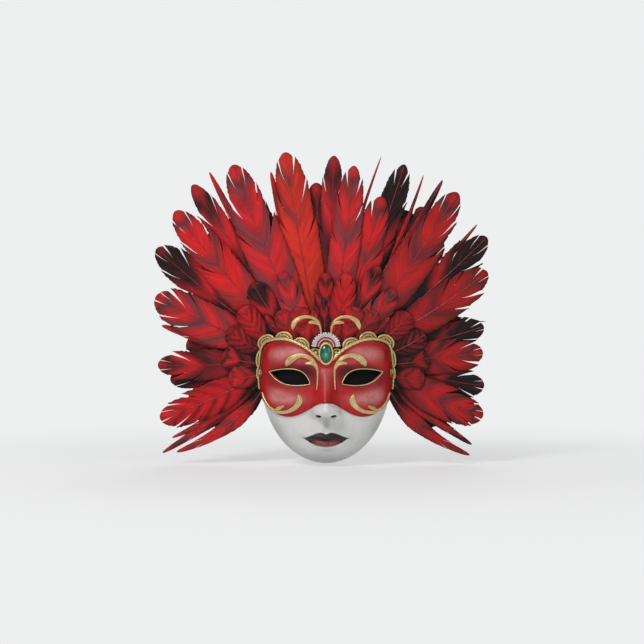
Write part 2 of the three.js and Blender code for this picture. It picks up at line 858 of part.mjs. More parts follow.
// ------------------------------------------------------------------ materials
const PAPER_WHITE = new THREE.MeshStandardMaterial({ color: 0xe4e2de, roughness: 0.45 });
const RED_LACQUER = new THREE.MeshStandardMaterial({ color: 0xb01218, roughness: 0.25 });
const GOLD = new THREE.MeshStandardMaterial({ color: 0xcfae62, metalness: 0.9, roughness: 0.35 });
const GOLD_BRAID = new THREE.MeshStandardMaterial({ color: 0xb8995a, roughness: 0.6 });
const EMERALD = new THREE.MeshStandardMaterial({ color: 0x128a63, roughness: 0.1 });
const WHITE_LACE = new THREE.MeshStandardMaterial({ color: 0xf2eeee, roughness: 0.9 });
const RED_RIBBON = new THREE.MeshStandardMaterial({ color: 0x9c1420, roughness: 0.5 });
const BUCKRAM = new THREE.MeshStandardMaterial({ color: 0x2a1516, roughness: 0.95 });
const FOAM = new THREE.MeshStandardMaterial({ color: 0x1c1c1e, roughness: 0.95 });
const BLACK_NET = new THREE.MeshStandardMaterial({ color: 0x141416, roughness: 0.9 });
const BRASS = new THREE.MeshStandardMaterial({ color: 0xc2a25a, metalness: 1, roughness: 0.3 });
const FEATHER = new THREE.MeshStandardMaterial({ color: 0xc01a1f, roughness: 0.8 });

// ------------------------------------------------------------------- assembly
const mask = new THREE.Group();

function add(name, shape, material) {
  const mesh = new THREE.Mesh(geometryOf(shape), material);
  mesh.name = name;
  mask.add(mesh);
}

function addPair(name, shape, material) {
  add(name + "_right", shape, material);
  add(name + "_left", mirrorX(shape), material);
}

// A pair that rests on the half mask, each side cut back to a glue line over it.
function addOverLacquer(name, shape, material) {
  const resting = (side) => largest(side.subtract(halfClearance));
  add(name + "_right", resting(shape), material);
  add(name + "_left", resting(mirrorX(shape)), material);
}

add("face_shell", faceShell, PAPER_WHITE);
add("half_mask", halfMask, RED_LACQUER);
add("feather_band", featherBand, BUCKRAM);
add("forehead_pad", foreheadPad, FOAM);
addPair("eye_screen", eyeScreen(), BLACK_NET);
addPair("eyelet", eyelet(), BRASS);
addPair("washer", washer(), BRASS);
addOverLacquer("eye_rim", eyeRim(), GOLD);
addOverLacquer("brow_scroll", scroll(BROW_STEM, BROW_CURL, overLacquer), GOLD);
addOverLacquer("cheek_scroll", scroll(CHEEK_STEM, CHEEK_CURL, overLacquer), GOLD);
addPair("crest_scroll", scroll(CREST_STEM, CREST_CURL, overCrest), GOLD);
addPair("edge_cord", edgeCord(), GOLD);
addPair("scallop_trim", scallopTrim(), GOLD_BRAID);
add("gem_bezel", gemBezel(), GOLD);
add("gem_cabochon", gemCabochon(), EMERALD);
add("lace_rosette", halfRing(ROSETTE.radius, ROSETTE.band + GAP, 13), WHITE_LACE);
add("rosette_band", halfRing(ROSETTE.band, ROSETTE.core + GAP, 0), RED_RIBBON);
add("rosette_core", halfRing(ROSETTE.core, 0, 0), WHITE_LACE);
FEATHERS.forEach((entry, i) => {
  add("feather_" + String(i + 1).padStart(2, "0"), feather(entry), FEATHER);
});

export default mask;
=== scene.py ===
"""Looks of the masquerade mask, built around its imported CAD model.

Lengths are in millimetres until piece() turns them into metres. The face looks
along -Y, the eye line is z = 0, and the mask is symmetric about x = 0.
"""

import math

import bpy
import numpy as np
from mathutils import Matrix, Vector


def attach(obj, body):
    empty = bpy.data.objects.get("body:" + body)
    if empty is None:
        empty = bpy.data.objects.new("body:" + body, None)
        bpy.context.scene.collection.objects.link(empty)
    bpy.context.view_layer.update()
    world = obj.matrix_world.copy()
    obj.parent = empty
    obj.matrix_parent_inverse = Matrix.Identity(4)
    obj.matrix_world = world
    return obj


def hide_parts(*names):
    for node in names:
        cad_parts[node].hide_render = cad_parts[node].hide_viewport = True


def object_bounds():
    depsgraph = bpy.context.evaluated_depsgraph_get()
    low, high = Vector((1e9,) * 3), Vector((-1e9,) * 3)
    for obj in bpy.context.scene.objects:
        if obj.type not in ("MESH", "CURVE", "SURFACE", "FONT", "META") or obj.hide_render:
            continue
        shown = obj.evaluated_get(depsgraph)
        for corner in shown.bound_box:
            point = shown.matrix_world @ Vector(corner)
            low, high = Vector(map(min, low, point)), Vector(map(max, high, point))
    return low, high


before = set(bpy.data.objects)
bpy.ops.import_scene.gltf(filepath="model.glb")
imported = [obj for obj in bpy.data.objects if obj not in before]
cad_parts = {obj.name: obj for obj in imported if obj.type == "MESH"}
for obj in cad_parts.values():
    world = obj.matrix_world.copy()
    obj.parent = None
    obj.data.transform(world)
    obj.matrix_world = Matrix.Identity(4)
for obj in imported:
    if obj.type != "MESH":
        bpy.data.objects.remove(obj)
cad_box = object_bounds()
scene = bpy.context.scene

# ------------------------------------------------------------------ dimensions
MM = 0.001
FACE_HALF_WIDTH = 82.5
CHIN_DROP = 110.0
CROWN_RISE = 140.0
FACE_DEPTH = 50.0
FACE_POWER = 2.3
SHELL = 2.5
HALF_MASK = 1.5
GAP = 0.35
TOP = GAP + HALF_MASK
OVERLAY_SIDE, OVERLAY_TOP = 0.9993, 0.985
FACE_MESH = (440, 150, 24)
HALF_MESH = (400, 110, 12)
DRILL_REACH = 16
NET_THICKNESS = 0.7
VANE_THICKNESS = 0.3
FACE_CENTRE = (0.0, -5.0)
NOSE_TOP = 14.0
NOSE_TIP = -41.0
NOSE_RIDGE = [
    (14, 0), (4, 4.5), (-12, 12), (-27, 19), (-36, 23.4), (-41, 24.2), (-45.5, 20), (-48.5, 10),
    (-51, 3.2), (-55, 0),
]
EYE_CENTRE = np.array([44.0, 1.0])
CORD_TOP, CORD_SIDE = 2.0, 0.9
CORD_START, CORD_THINS, CORD_THINNING = 7.0, 78.0, 30.0
BRAID_RADIUS = 1.2
RELIEF_HEIGHT = 2.2
GEM = {"z": 30.2, "half_width": 8.7, "half_height": 13.8, "back": -53.1}
ROSETTE = {"z": 38.8, "radius": 18.0, "band": 12.9, "core": 8.7, "front": -52.2}
CREST_PLANE = -47.4
EYELET = {"y": -10.0, "z": 6.0, "hole": 4.0, "barrel": 4.7, "flange": 7.0, "plate": 0.8}
BAND = {"margin": 8.0, "least": 27.0, "width": 28.0, "thickness": 1.5, "foot": -14.0}
PAD = {"from": 52.0, "inset": 2.0, "width": 15.0, "thickness": 8.0}
FAN_SIDE, FAN_FRONT, FAN_TURN, FAN_OVER = 2.0, 42.0, 12.0, 58.0
FAN_PITCH, FAN_LAYERS, FAN_ROOT_PITCH = 2.6, 6, 0.6
CURL_SIDE, CURL_TOP = 16.0, 8.0

# Upper edge of the half mask from its centre dip to the temple, right side.
TOP_EDGE = [
    (0, 17), (5.4, 18.6), (14, 25.5), (27, 35.6), (42, 43.2), (54.5, 45.6), (66, 44.6),
    (74.8, 40.8), (78.6, 34.6), (80.5, 26), (81.7, 16), (82.4, 5),
]
# Its lower edge from the side to the bridge of the nose.
LOWER_EDGE = [
    (79.6, -29), (72, -38), (60, -45.5), (48, -48.5), (35, -46.3), (20, -38.6), (9, -32.2),
    (0, -30.6),
]
# Lips, right side: height at distances from the middle.
LIP_X = [0, 3, 6.3, 11.3, 19.6, 27.7]
LIP_UPPER = [-70.1, -69.0, -68.0, -68.9, -72.3, -75.6]
LIP_SEAM = [-78.5, -78.3, -77.7, -77.2, -77.4, -75.7]
LIP_LOWER = [-86.6, -86.4, -86.0, -84.9, -81.5, -75.8]
# Scallops of braid: start and end along the rim, and rise.
SCALLOPS = [
    (11, 20.5, 5), (29.5, 48.5, 9), (51.5, 70.5, 9.4), (73, 91, 8.6), (93.5, 114, 3.6),
    (115, 129, 1.8),
]
# Gold scrolls of the right side: x, z and width along each stem and curl.
BROW_STEM = [
    (9.6, -15, 0.8), (9.2, -2, 1.4), (10.2, 9.6, 2.8), (14, 18.4, 4), (20.6, 25, 4.4),
    (30.6, 27.6, 4.8), (40.6, 24.6, 7), (46.6, 19.6, 7), (48.2, 14.8, 0.9),
]
BROW_CURL = [(10.6, 11.4, 1.6), (14.5, 16.8, 4), (19.5, 19, 4.2), (26, 18.6, 1.8)]
CHEEK_STEM = [
    (78.4, -19, 0.8), (75.6, -28.6, 2), (69.4, -37.4, 3.4), (59.4, -42.2, 3.8),
    (47.6, -41.6, 4.2), (37.6, -36, 5.8), (32.6, -28.4, 7.4), (34, -20.6, 2),
]
CHEEK_CURL = [(63, -40.6, 2.4), (57.4, -37.6, 4.4), (51.2, -34.8, 2)]
CREST_STEM = [
    (6.2, 49, 2.6), (6.5, 59, 2.2), (8, 65.4, 2.6), (12, 71.8, 3.2), (19.4, 75.4, 3.6),
    (29.2, 75.4, 4.2), (37.4, 70.8, 6), (40.8, 65, 5.4), (41.2, 59.6, 0.9),
]
CREST_CURL = [(8.3, 65.6, 1.8), (12.6, 68.2, 3.8), (17.2, 69, 4.2), (22.2, 68.4, 1.9)]

# The named feathers: tip x and z, root angle, width, bow, layer, dye pattern.
FEATHERS = [
    (-190, -96, 188, 20, 13, 3, "crimson"),
    (-208, -97, 182, 18, 4, 4, "dusk"),
    (-211, -53, 173, 42, 6, 2, "barred"),
    (-199, -4, 170, 34, 3, 5, "night"),
    (-214, 15, 164, 40, 4, 3, "dusk"),
    (-209, 65, 158, 22, 3, 4, "crimson"),
    (-215, 102, 151, 50, 6, 2, "mauve"),
    (-213, 162, 145, 48, 4, 3, "night"),
    (-189, 208, 137, 48, 4, 2, "flame"),
    (-167, 241, 130, 36, 0, 4, "dusk"),
    (-146, 257, 125, 20, 2, 5, "crimson"),
    (-116, 265, 118, 54, 4, 2, "mauve"),
    (-69, 257, 107, 22, 2, 5, "crimson"),
    (-51, 281, 100, 50, 2, 3, "ember"),
    (10, 277, 90, 36, 0, 4, "dusk"),
    (35, 264, 82, 38, -2, 2, "mauve"),
    (70, 226, 74, 44, -2, 3, "flame"),
    (98, 266, 69, 38, -3, 4, "night"),
    (146, 247, 58, 22, -2, 5, "dusk"),
    (164, 231, 52, 50, -4, 2, "flame"),
    (202, 176, 41, 46, -4, 3, "night"),
    (203, 133, 34, 46, -5, 2, "crimson"),
    (201, 64, 25, 40, -4, 4, "night"),
    (200, 31, 18, 44, -4, 3, "crimson"),
    (202, -12, 12, 40, -4, 4, "night"),
    (200, -50, 7, 44, -6, 2, "flame"),
    (190, -52, 4, 46, -2, 5, "dusk"),
    (186, -87, -1, 18, -4, 4, "night"),
    (183, -100, -8, 20, -13, 3, "crimson"),
    (-55, 131, 116, 32, 2, 0, "mauve"),
    (87, 110, 62, 32, -2, 0, "mauve"),
    (0, 131, 92, 28, 0, 1, "barred_dark"),
    (27, 131, 78, 30, -1, 0, "barred"),
]

# -------------------------------------------------------------- small helpers


def clamp(v):
    return np.clip(v, 0.0, 1.0)


def smooth(v):
    t = clamp(v)
    return t * t * (3 - 2 * t)


def lerp(a, b, t):
    return a + (b - a) * t


def bump(x, z, cx, cz, rx, rz):
    return np.exp(-(((x - cx) / rx) ** 2) - ((z - cz) / rz) ** 2)


def ridge(knots, position):
    """A smooth curve through (position, value) knots in falling order."""
    xs = np.array([k[0] for k in knots][::-1], float)
    ys = np.array([k[1] for k in knots][::-1], float)
    slope = np.zeros(len(xs))
    slope[1:-1] = (ys[2:] - ys[:-2]) / (xs[2:] - xs[:-2])
    p = np.clip(position, xs[0], xs[-1])
    i = np.clip(np.searchsorted(xs, p, side="right") - 1, 0, len(xs) - 2)
    span = xs[i + 1] - xs[i]
    t = (p - xs[i]) / span
    rise = (2 * t**3 - 3 * t**2 + 1) * ys[i] + (3 * t**2 - 2 * t**3) * ys[i + 1]
    bend = (t**3 - 2 * t**2 + t) * slope[i] + (t**3 - t**2) * slope[i + 1]
    return rise + span * bend


def spline(knots, count):
    """Evenly stepped Catmull-Rom points through knots of any width."""
    p = np.asarray(knots, float)
    t = np.linspace(0, len(p) - 1, count)
    i = np.minimum(t.astype(int), len(p) - 2)
    f = (t - i)[:, None]
    a, b = p[np.maximum(i - 1, 0)], p[i]
    c, d = p[i + 1], p[np.minimum(i + 2, len(p) - 1)]
    v0, v1 = (c - a) / 2, (d - b) / 2
    return (
        (2 * b - 2 * c + v0 + v1) * f**3
        + (-3 * b + 3 * c - 2 * v0 - v1) * f**2
        + v0 * f
        + b
    )


def lengths(points):
    steps = np.linalg.norm(np.diff(points, axis=0), axis=1)
    return np.concatenate([[0], np.cumsum(steps)])


def spaced(points, count):
    """The same line, resampled at equal steps along its length."""
    along = lengths(points)
    at = np.linspace(0, along[-1], count)
    return np.column_stack([np.interp(at, along, points[:, k]) for k in range(points.shape[1])])


# ---------------------------------------------------------------- mesh helpers


def grid_faces(columns, rows, around=False, first=0):
    """Quads over points stored column by column; around joins last to first."""
    c = np.arange(columns if around else columns - 1)
    r = np.arange(rows - 1)
    c, r = [a.ravel() for a in np.meshgrid(c, r, indexing="ij")]
    d = (c + 1) % columns
    return first + np.column_stack([c * rows + r, c * rows + r + 1, d * rows + r + 1, d * rows + r])


def volume(points, groups):
    total = 0.0
    for faces in groups:
        for k in range(1, faces.shape[1] - 1):
            a, b, c = points[faces[:, 0]], points[faces[:, k]], points[faces[:, k + 1]]
            total += float((a * np.cross(b, c)).sum())
    return total


def piece(name, points, groups, materials, nodes=(), slot=None, layers=None, sharp=None, which=None):
    """A closed mesh in the frame. groups holds arrays of triangles, quads or caps."""
    points = np.asarray(points, float)
    groups = [np.asarray(g, int) for g in groups if len(g)]
    if volume(points - points.mean(axis=0), groups) < 0:
        groups = [g[:, ::-1] for g in groups]
    sizes = np.concatenate([np.full(len(g), g.shape[1]) for g in groups])
    mesh = bpy.data.meshes.new(name)
    mesh.vertices.add(len(points))
    mesh.vertices.foreach_set("co", (points * MM).ravel())
    mesh.loops.add(int(sizes.sum()))
    mesh.polygons.add(len(sizes))
    mesh.polygons.foreach_set("loop_start", np.concatenate([[0], np.cumsum(sizes)[:-1]]))
    mesh.polygons.foreach_set("vertices", np.concatenate([g.ravel() for g in groups]))
    if which is not None:
        mesh.polygons.foreach_set("material_index", np.asarray(which, int))
    mesh.update(calc_edges=True)
    mesh.validate()
    mesh.shade_smooth()
    if sharp:
        mesh.set_sharp_from_angle(angle=math.radians(sharp))
    obj = bpy.data.objects.new(name, mesh)
    scene.collection.objects.link(obj)
    for material in materials if isinstance(materials, (list, tuple)) else [materials]:
        mesh.materials.append(material)
    paint(obj, layers or {})
    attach(obj, "root")
    if nodes:
        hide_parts(*([nodes] if isinstance(nodes, str) else nodes))
    return obj


def paint(obj, layers):
    """Stores one number or one triple of numbers for each point of the mesh."""
    for name, values in layers.items():
        values = np.asarray(values, float)
        kind, field = ("FLOAT", "value") if values.ndim == 1 else ("FLOAT_VECTOR", "vector")
        layer = obj.data.attributes.new(name, kind, "POINT")
        layer.data.foreach_set(field, values.ravel())


def points_of(obj):
    flat = np.empty(len(obj.data.vertices) * 3)
    obj.data.vertices.foreach_get("co", flat)
    return flat.reshape(-1, 3) / MM


def joined(shapes):
    """One point array and one list of faces from several (points, groups)."""
    points, groups, first = [], {}, 0
    for p, faces in shapes:
        for g in faces:
            groups.setdefault(g.shape[1], []).append(np.asarray(g, int) + first)
        points.append(p)
        first += len(p)
    return np.vstack(points), [np.vstack(g) for g in groups.values()]


def second_material(groups, first):
    """0 for faces on points before the first one, 1 for faces on those after."""
    return np.concatenate([(g.min(axis=1) >= first).astype(int) for g in groups])


def mirrored(shape):
    points, groups = shape
    return points * [-1, 1, 1], [g[:, ::-1] for g in groups]


def sides_of(shape):
    return ("right", shape), ("left", mirrored(shape))


def loft(sections):
    """Sections of equal length joined in order, with a cap at both ends."""
    sections = np.asarray(sections, float)
    count, sides = sections.shape[:2]
    flat = sections.reshape(-1, 3)
    faces = grid_faces(sides, count, around=True)
    quads = faces % count * sides + faces // count
    caps = np.array([np.arange(sides), (count - 1) * sides + np.arange(sides)[::-1]])
    if volume(flat - flat.mean(axis=0), [quads]) < 0:
        quads = quads[:, ::-1]
    inside = volume(flat - flat.mean(axis=0), [quads, caps])
    turned = volume(flat - flat.mean(axis=0), [quads, caps[:, ::-1]])
    return flat, [quads, caps if inside >= turned else caps[:, ::-1]]


def tube(path, radius, sides=12, closed=False, plies=0, twist=0.0, relief=0.0):
    """A round tube along a path. plies, twist and relief make it a laid cord."""
    path = np.asarray(path, float)
    count = len(path)
    radius = np.broadcast_to(radius, count).astype(float)
    ahead = np.roll(path, -1, axis=0) if closed else path[np.minimum(np.arange(count) + 1, count - 1)]
    behind = np.roll(path, 1, axis=0) if closed else path[np.maximum(np.arange(count) - 1, 0)]
    along = ahead - behind
    along /= np.linalg.norm(along, axis=1)[:, None]
    across = np.cross([0.0, 1.0, 0.0], along)
    across /= np.maximum(np.linalg.norm(across, axis=1), 1e-6)[:, None]
    up = np.cross(along, across)
    turn = np.linspace(0, 2 * math.pi, sides, endpoint=False)[None, :]
    lay = 1 + relief * np.abs(np.cos((turn * plies - lengths(path)[:, None] * twist) / 2)) - relief / 2
    r = radius[:, None] * (lay if plies else 1.0)
    rings = (
        path[:, None, :]
        + across[:, None, :] * (r * np.cos(turn))[:, :, None]
        + up[:, None, :] * (r * np.sin(turn))[:, :, None]
    )
    if closed:
        faces = grid_faces(count, sides, around=True)
        seam = np.arange(count)
        nxt = (seam + 1) % count
        last = np.column_stack(
            [seam * sides + sides - 1, seam * sides, nxt * sides, nxt * sides + sides - 1]
        )
        return rings.reshape(-1, 3), [np.vstack([faces, last])]
    ends = [lerp(path[0], rings[0], k) - along[0] * radius[0] * d for k, d in ((0.5, 0.6), (0.8, 0.35))]
    tails = [lerp(path[-1], rings[-1], k) + along[-1] * radius[-1] * d for k, d in ((0.8, 0.35), (0.5, 0.6))]
    return loft([*ends, *rings, *tails])


def skin(points, quads, offset):
    """A thin closed sheet: the quads, their copies behind them, and walls between."""
    n = len(points)
    both = np.vstack([points - offset / 2, points + offset / 2])
    edges = np.concatenate([quads[:, [i, (i + 1) % 4]] for i in range(4)])
    low, high = edges.min(axis=1), edges.max(axis=1)
    _, inverse, counts = np.unique(low * n + high, return_inverse=True, return_counts=True)
    rim = edges[counts[inverse.ravel()] == 1]
    walls = np.column_stack([rim[:, 1], rim[:, 0], rim[:, 0] + n, rim[:, 1] + n])
    return both, [np.vstack([quads, quads[:, ::-1] + n, walls])]


def ball(centre, radius, columns=12, rows=8):
    turn = np.linspace(0, 2 * math.pi, columns, endpoint=False)
    tilt = np.linspace(0.06, math.pi - 0.06, rows)
    t, p = np.meshgrid(tilt, turn, indexing="ij")
    offsets = np.stack([np.sin(t) * np.cos(p), np.cos(t), np.sin(t) * np.sin(p)], axis=-1)
    return loft(np.asarray(centre, float) + radius * offsets)


def turned(profile, across, up, centre, columns=96):
    """An oval turned piece: profile points are share of the radius and height."""
    turn = np.linspace(0, 2 * math.pi, columns, endpoint=False)
    share, height = np.asarray(profile, float).T
    share = np.maximum(share, 0.004)
    x = share[:, None] * across * np.cos(turn)
    z = share[:, None] * up * np.sin(turn)
    y = np.broadcast_to(-height[:, None], x.shape)
    return loft(np.stack([x, y, z], axis=-1) + np.asarray(centre, float))


# --------------------------------------------------------------- face surface


def oval_share(x, z):
    return np.hypot(x / FACE_HALF_WIDTH, z / np.where(z < 0, CHIN_DROP, CROWN_RISE))


def features(x, z):
    side = np.abs(x)
    down = clamp((NOSE_TOP - z) / (NOSE_TOP - NOSE_TIP))
    out = ridge(NOSE_RIDGE, z) * np.exp(-((x / (7 + 5 * down)) ** 2))
    out = out + 7 * bump(side, z, 11.5, -42.5, 6, 5) - 8 * bump(side, z, 42, 2, 27, 14)
    out = out + 4.5 * bump(side, z, 43, 0, 19, 9) + 3 * bump(side, z, 38, 24, 30, 9)
    out = out + 4 * bump(side, z, 48, -32, 24, 18) + 6 * bump(x, z, 0, -76, 28, 17)
    return out + 5 * bump(x, z, 0, -97, 20, 11)


def lips(x, z):
    def reach(half):
        return np.maximum(0, 1 - (x / half) ** 2)

    upper = 3.2 * reach(27) * np.exp(-(((z + 74.4) / 3.2) ** 2))
    lower = 4.2 * reach(24) * np.exp(-(((z + 82.4) / 3.6) ** 2))
    seam = -1.6 * reach(27) * np.exp(-(((z + 78.6) / 1.3) ** 2))
    return upper + lower + seam


def lip_shares(x, z):
    """How far a point is on the upper lip, the lower lip and their seam."""
    side = np.abs(x)
    upper, seam, lower = (np.interp(side, LIP_X, line) for line in (LIP_UPPER, LIP_SEAM, LIP_LOWER))
    inside = smooth((28.4 - side) / 0.8)
    on_upper = inside * smooth((upper - z) / 0.7 + 0.5) * smooth((z - seam) / 0.7 + 0.5)
    on_lower = inside * smooth((seam - z) / 0.7 + 0.5) * smooth((z - lower) / 0.7 + 0.5)
    parting = inside * np.exp(-(((z - seam) / 0.75) ** 2))
    rim = inside * np.exp(-(((z - lower - 0.6) / 0.8) ** 2))
    return on_upper, on_lower, parting, rim


def modelling(x, z):
    """Small forms of the face that the CAD shell leaves plain."""
    side = np.abs(x)
    on_upper, on_lower, parting, _ = lip_shares(x, z)
    out = -1.3 * bump(x, z, 0, -60.5, 3.0, 7.5) + 0.8 * bump(side, z, 5.2, -62, 2.2, 7)
    out = out - 1.3 * bump(side, z, 17.4, -43, 2.6, 6) - 1.6 * bump(x, z, 0, -91, 13, 3)
    out = out - 1.4 * bump(side, z, 29.6, -76, 3.4, 3.6) + 0.6 * bump(x, z, 0, -43, 4, 5)
    return out + 0.45 * on_upper + 0.5 * on_lower - 0.5 * parting


def face_y(x, z, with_lips=False):
    share = np.minimum(1, oval_share(x, z))
    oval = FACE_DEPTH * np.sqrt(1 - share**FACE_POWER)
    fine = lips(x, z) + modelling(x, z) if with_lips else 0
    return -oval - (1 - share**8) * (features(x, z) + fine)


def face_normal(x, z):
    step = 0.4
    limit = 0.998 / np.maximum(0.998, oval_share(x, z))
    px, pz = x * limit - np.sign(x) * step, z * limit - np.sign(z) * step
    dx = (face_y(px + step, pz) - face_y(px - step, pz)) / (2 * step)
    dz = (face_y(px, pz + step) - face_y(px, pz - step)) / (2 * step)
    normal = np.stack([dx, -np.ones_like(dx), dz], axis=-1)
    return normal / np.linalg.norm(normal, axis=-1, keepdims=True)


def on_face(x, z, height, with_lips=False):
    x, z = np.asarray(x, float), np.asarray(z, float)
    base = np.stack([x, face_y(x, z, with_lips), z], axis=-1)
    return base + face_normal(x, z) * np.asarray(height, float)[..., None]


def oval_arc(start, end, count):
    angle = np.linspace(start, end, count)
    rise = np.where(np.sin(angle) < 0, CHIN_DROP, CROWN_RISE)
    return np.column_stack([FACE_HALF_WIDTH * np.cos(angle), rise * np.sin(angle)])


TEMPLE = math.asin(5 / CROWN_RISE)
JAW_SIDE = -math.asin(29 / CHIN_DROP)
top_edge = spaced(spline(TOP_EDGE, 400), 300)
lower_edge = spaced(spline(LOWER_EDGE, 300), 200)


def both_sides(right):
    return np.vstack([right, right[1:-1][::-1] * [-1, 1]])


face_outline = both_sides(np.vstack([oval_arc(-math.pi / 2, TEMPLE, 300), top_edge[::-1][1:]]))
trim_in = np.linspace(OVERLAY_SIDE, OVERLAY_TOP, 299)[:, None]
half_outline = both_sides(
    np.vstack(
        [
            lower_edge[::-1],
            oval_arc(JAW_SIDE, TEMPLE, 100)[1:] * OVERLAY_SIDE,
            top_edge[::-1][1:] * trim_in,
        ]
    )
)


def reach(outline, centre, angle):
    """Distance from a centre to an outline at angles."""
    offset = outline - np.asarray(centre)
    own = np.arctan2(offset[:, 1], offset[:, 0])
    order = np.argsort(own)
    return np.interp(angle, own[order], np.hypot(*offset.T)[order], period=2 * math.pi)


def sheet_over(outline, centre, columns, front_rings, back_rings, front, back):
    """Two faces that fan out from a centre, closed along the outline."""
    angle = np.linspace(0, 2 * math.pi, columns, endpoint=False)
    length = reach(outline, centre, angle)

    def side(rings, place):
        share = np.arange(1, rings + 1) / rings
        out = np.sin(share * math.pi / 2)[:, None] * length
        x, z = centre[0] + out * np.cos(angle), centre[1] + out * np.sin(angle)
        inside = (1 - np.sin(share * math.pi / 2))[:, None] * length
        rim = place(x, z, inside).reshape(-1, 3)
        middle = place(np.array([centre[0]]), np.array([centre[1]]), np.array([99.0]))
        return np.vstack([middle, rim])

    fronts, backs = side(front_rings, front), side(back_rings, back)
    j = np.arange(columns)
    k = (j + 1) % columns

    def faces(rings, first):
        fan = np.column_stack([np.full(columns, first), first + 1 + j, first + 1 + k])
        quads = []
        for i in range(rings - 1):
            inner, outer = first + 1 + i * columns, first + 1 + (i + 1) * columns
            quads.append(np.column_stack([inner + j, outer + j, outer + k, inner + k]))
        return fan, np.vstack(quads), first + 1 + (rings - 1) * columns

    fan, quads, edge = faces(front_rings, 0)
    back_fan, back_quads, back_edge = faces(back_rings, len(fronts))
    wall = np.column_stack([edge + j, back_edge + j, back_edge + k, edge + k])
    triangles = np.vstack([fan, back_fan[:, ::-1]])
    return np.vstack([fronts, backs]), [triangles, np.vstack([quads, back_quads[:, ::-1], wall])]


# ------------------------------------------------------------ eyes and cutters


def bezier(a, b, c, d, count):
    t = np.linspace(0, 1, count)[:, None]
    a, b, c, d = (np.asarray(p, float) for p in (a, b, c, d))
    return (1 - t) ** 3 * a + 3 * (1 - t) ** 2 * t * b + 3 * (1 - t) * t**2 * c + t**3 * d


def eye_outline(scale, count=120):
    upper = bezier((68.6, 7), (50, 13.2), (27, 17.2), (19.8, -7.8), 90)
    lower = bezier((19.8, -7.8), (34, -10.7), (56, -13.6), (68.6, 7), 90)
    line = spaced(np.vstack([upper, lower[1:]]), count + 1)[:-1]
    return EYE_CENTRE + (line - EYE_CENTRE) * scale


def prism(outline, front=-110.0, back=30.0):
    ends = [np.column_stack([outline[:, 0], np.full(len(outline), y), outline[:, 1]]) for y in (front, back)]
    return loft(ends)


def side_wall():
    x = FACE_HALF_WIDTH * 0.8
    while face_y(np.float64(x), np.float64(EYELET["z"])) < EYELET["y"]:
        x += 0.01
    x, z = np.float64(x), np.float64(EYELET["z"])
    return on_face(x, z, 0.0), face_normal(x, z)


wall_point, wall_axis = side_wall()


def about_eyelet(profile, columns=56):
    """A piece turned about the eyelet's axis, right side."""
    u = np.cross(wall_axis, [0.0, 0.0, 1.0])
    u /= np.linalg.norm(u)
    v = np.cross(wall_axis, u)
    turn = np.linspace(0, 2 * math.pi, columns, endpoint=False)
    radius, height = np.asarray([*profile, profile[0]], float).T
    ring = np.cos(turn)[:, None] * u + np.sin(turn)[:, None] * v
    points = wall_point + radius[:, None, None] * ring + height[:, None, None] * wall_axis
    count = len(radius) - 1
    flat = points[:-1].reshape(-1, 3)
    j = np.arange(columns)
    k = (j + 1) % columns
    quads = []
    for i in range(count):
        n = (i + 1) % count
        quads.append(np.column_stack([i * columns + j, i * columns + k, n * columns + k, n * columns + j]))
    return flat, [np.vstack(quads)]


def nostril():
    turn = np.linspace(0, 2 * math.pi, 40, endpoint=False)
    lean = math.radians(12)
    a, b = 3.6 * np.cos(turn), 1.5 * np.sin(turn)
    return np.column_stack(
        [9.2 + a * math.cos(lean) - b * math.sin(lean), -47 + a * math.sin(lean) + b * math.cos(lean)]
    )


def cutter(name, shapes):
    points, groups = joined([s for shape in shapes for s in (shape, mirrored(shape))])
    return piece(name, points, groups, [])


def cut(obj, tool):
    """Takes the tool's shape out of a piece for good."""
    modifier = obj.modifiers.new("cut", "BOOLEAN")
    modifier.object, modifier.operation, modifier.solver = tool, "DIFFERENCE", "EXACT"
    fresh = bpy.data.meshes.new_from_object(obj.evaluated_get(bpy.context.evaluated_depsgraph_get()))
    obj.modifiers.clear()
    old, obj.data = obj.data, fresh
    fresh.name = old.name
    bpy.data.meshes.remove(old)
    fresh.set_sharp_from_angle(angle=math.radians(38))


def pierce(obj, more=()):
    """Opens the eyes, the eyelet holes and any more shapes in a piece."""
    wide = EYELET["barrel"] + GAP
    drill = about_eyelet([(0.01, -DRILL_REACH), (wide, -DRILL_REACH), (wide, DRILL_REACH), (0.01, DRILL_REACH)])
    tool = cutter("holes", [prism(eye_outline(1.0)), drill, *more])
    cut(obj, tool)
    bpy.data.objects.remove(tool)


# ------------------------------------------------------------------- materials


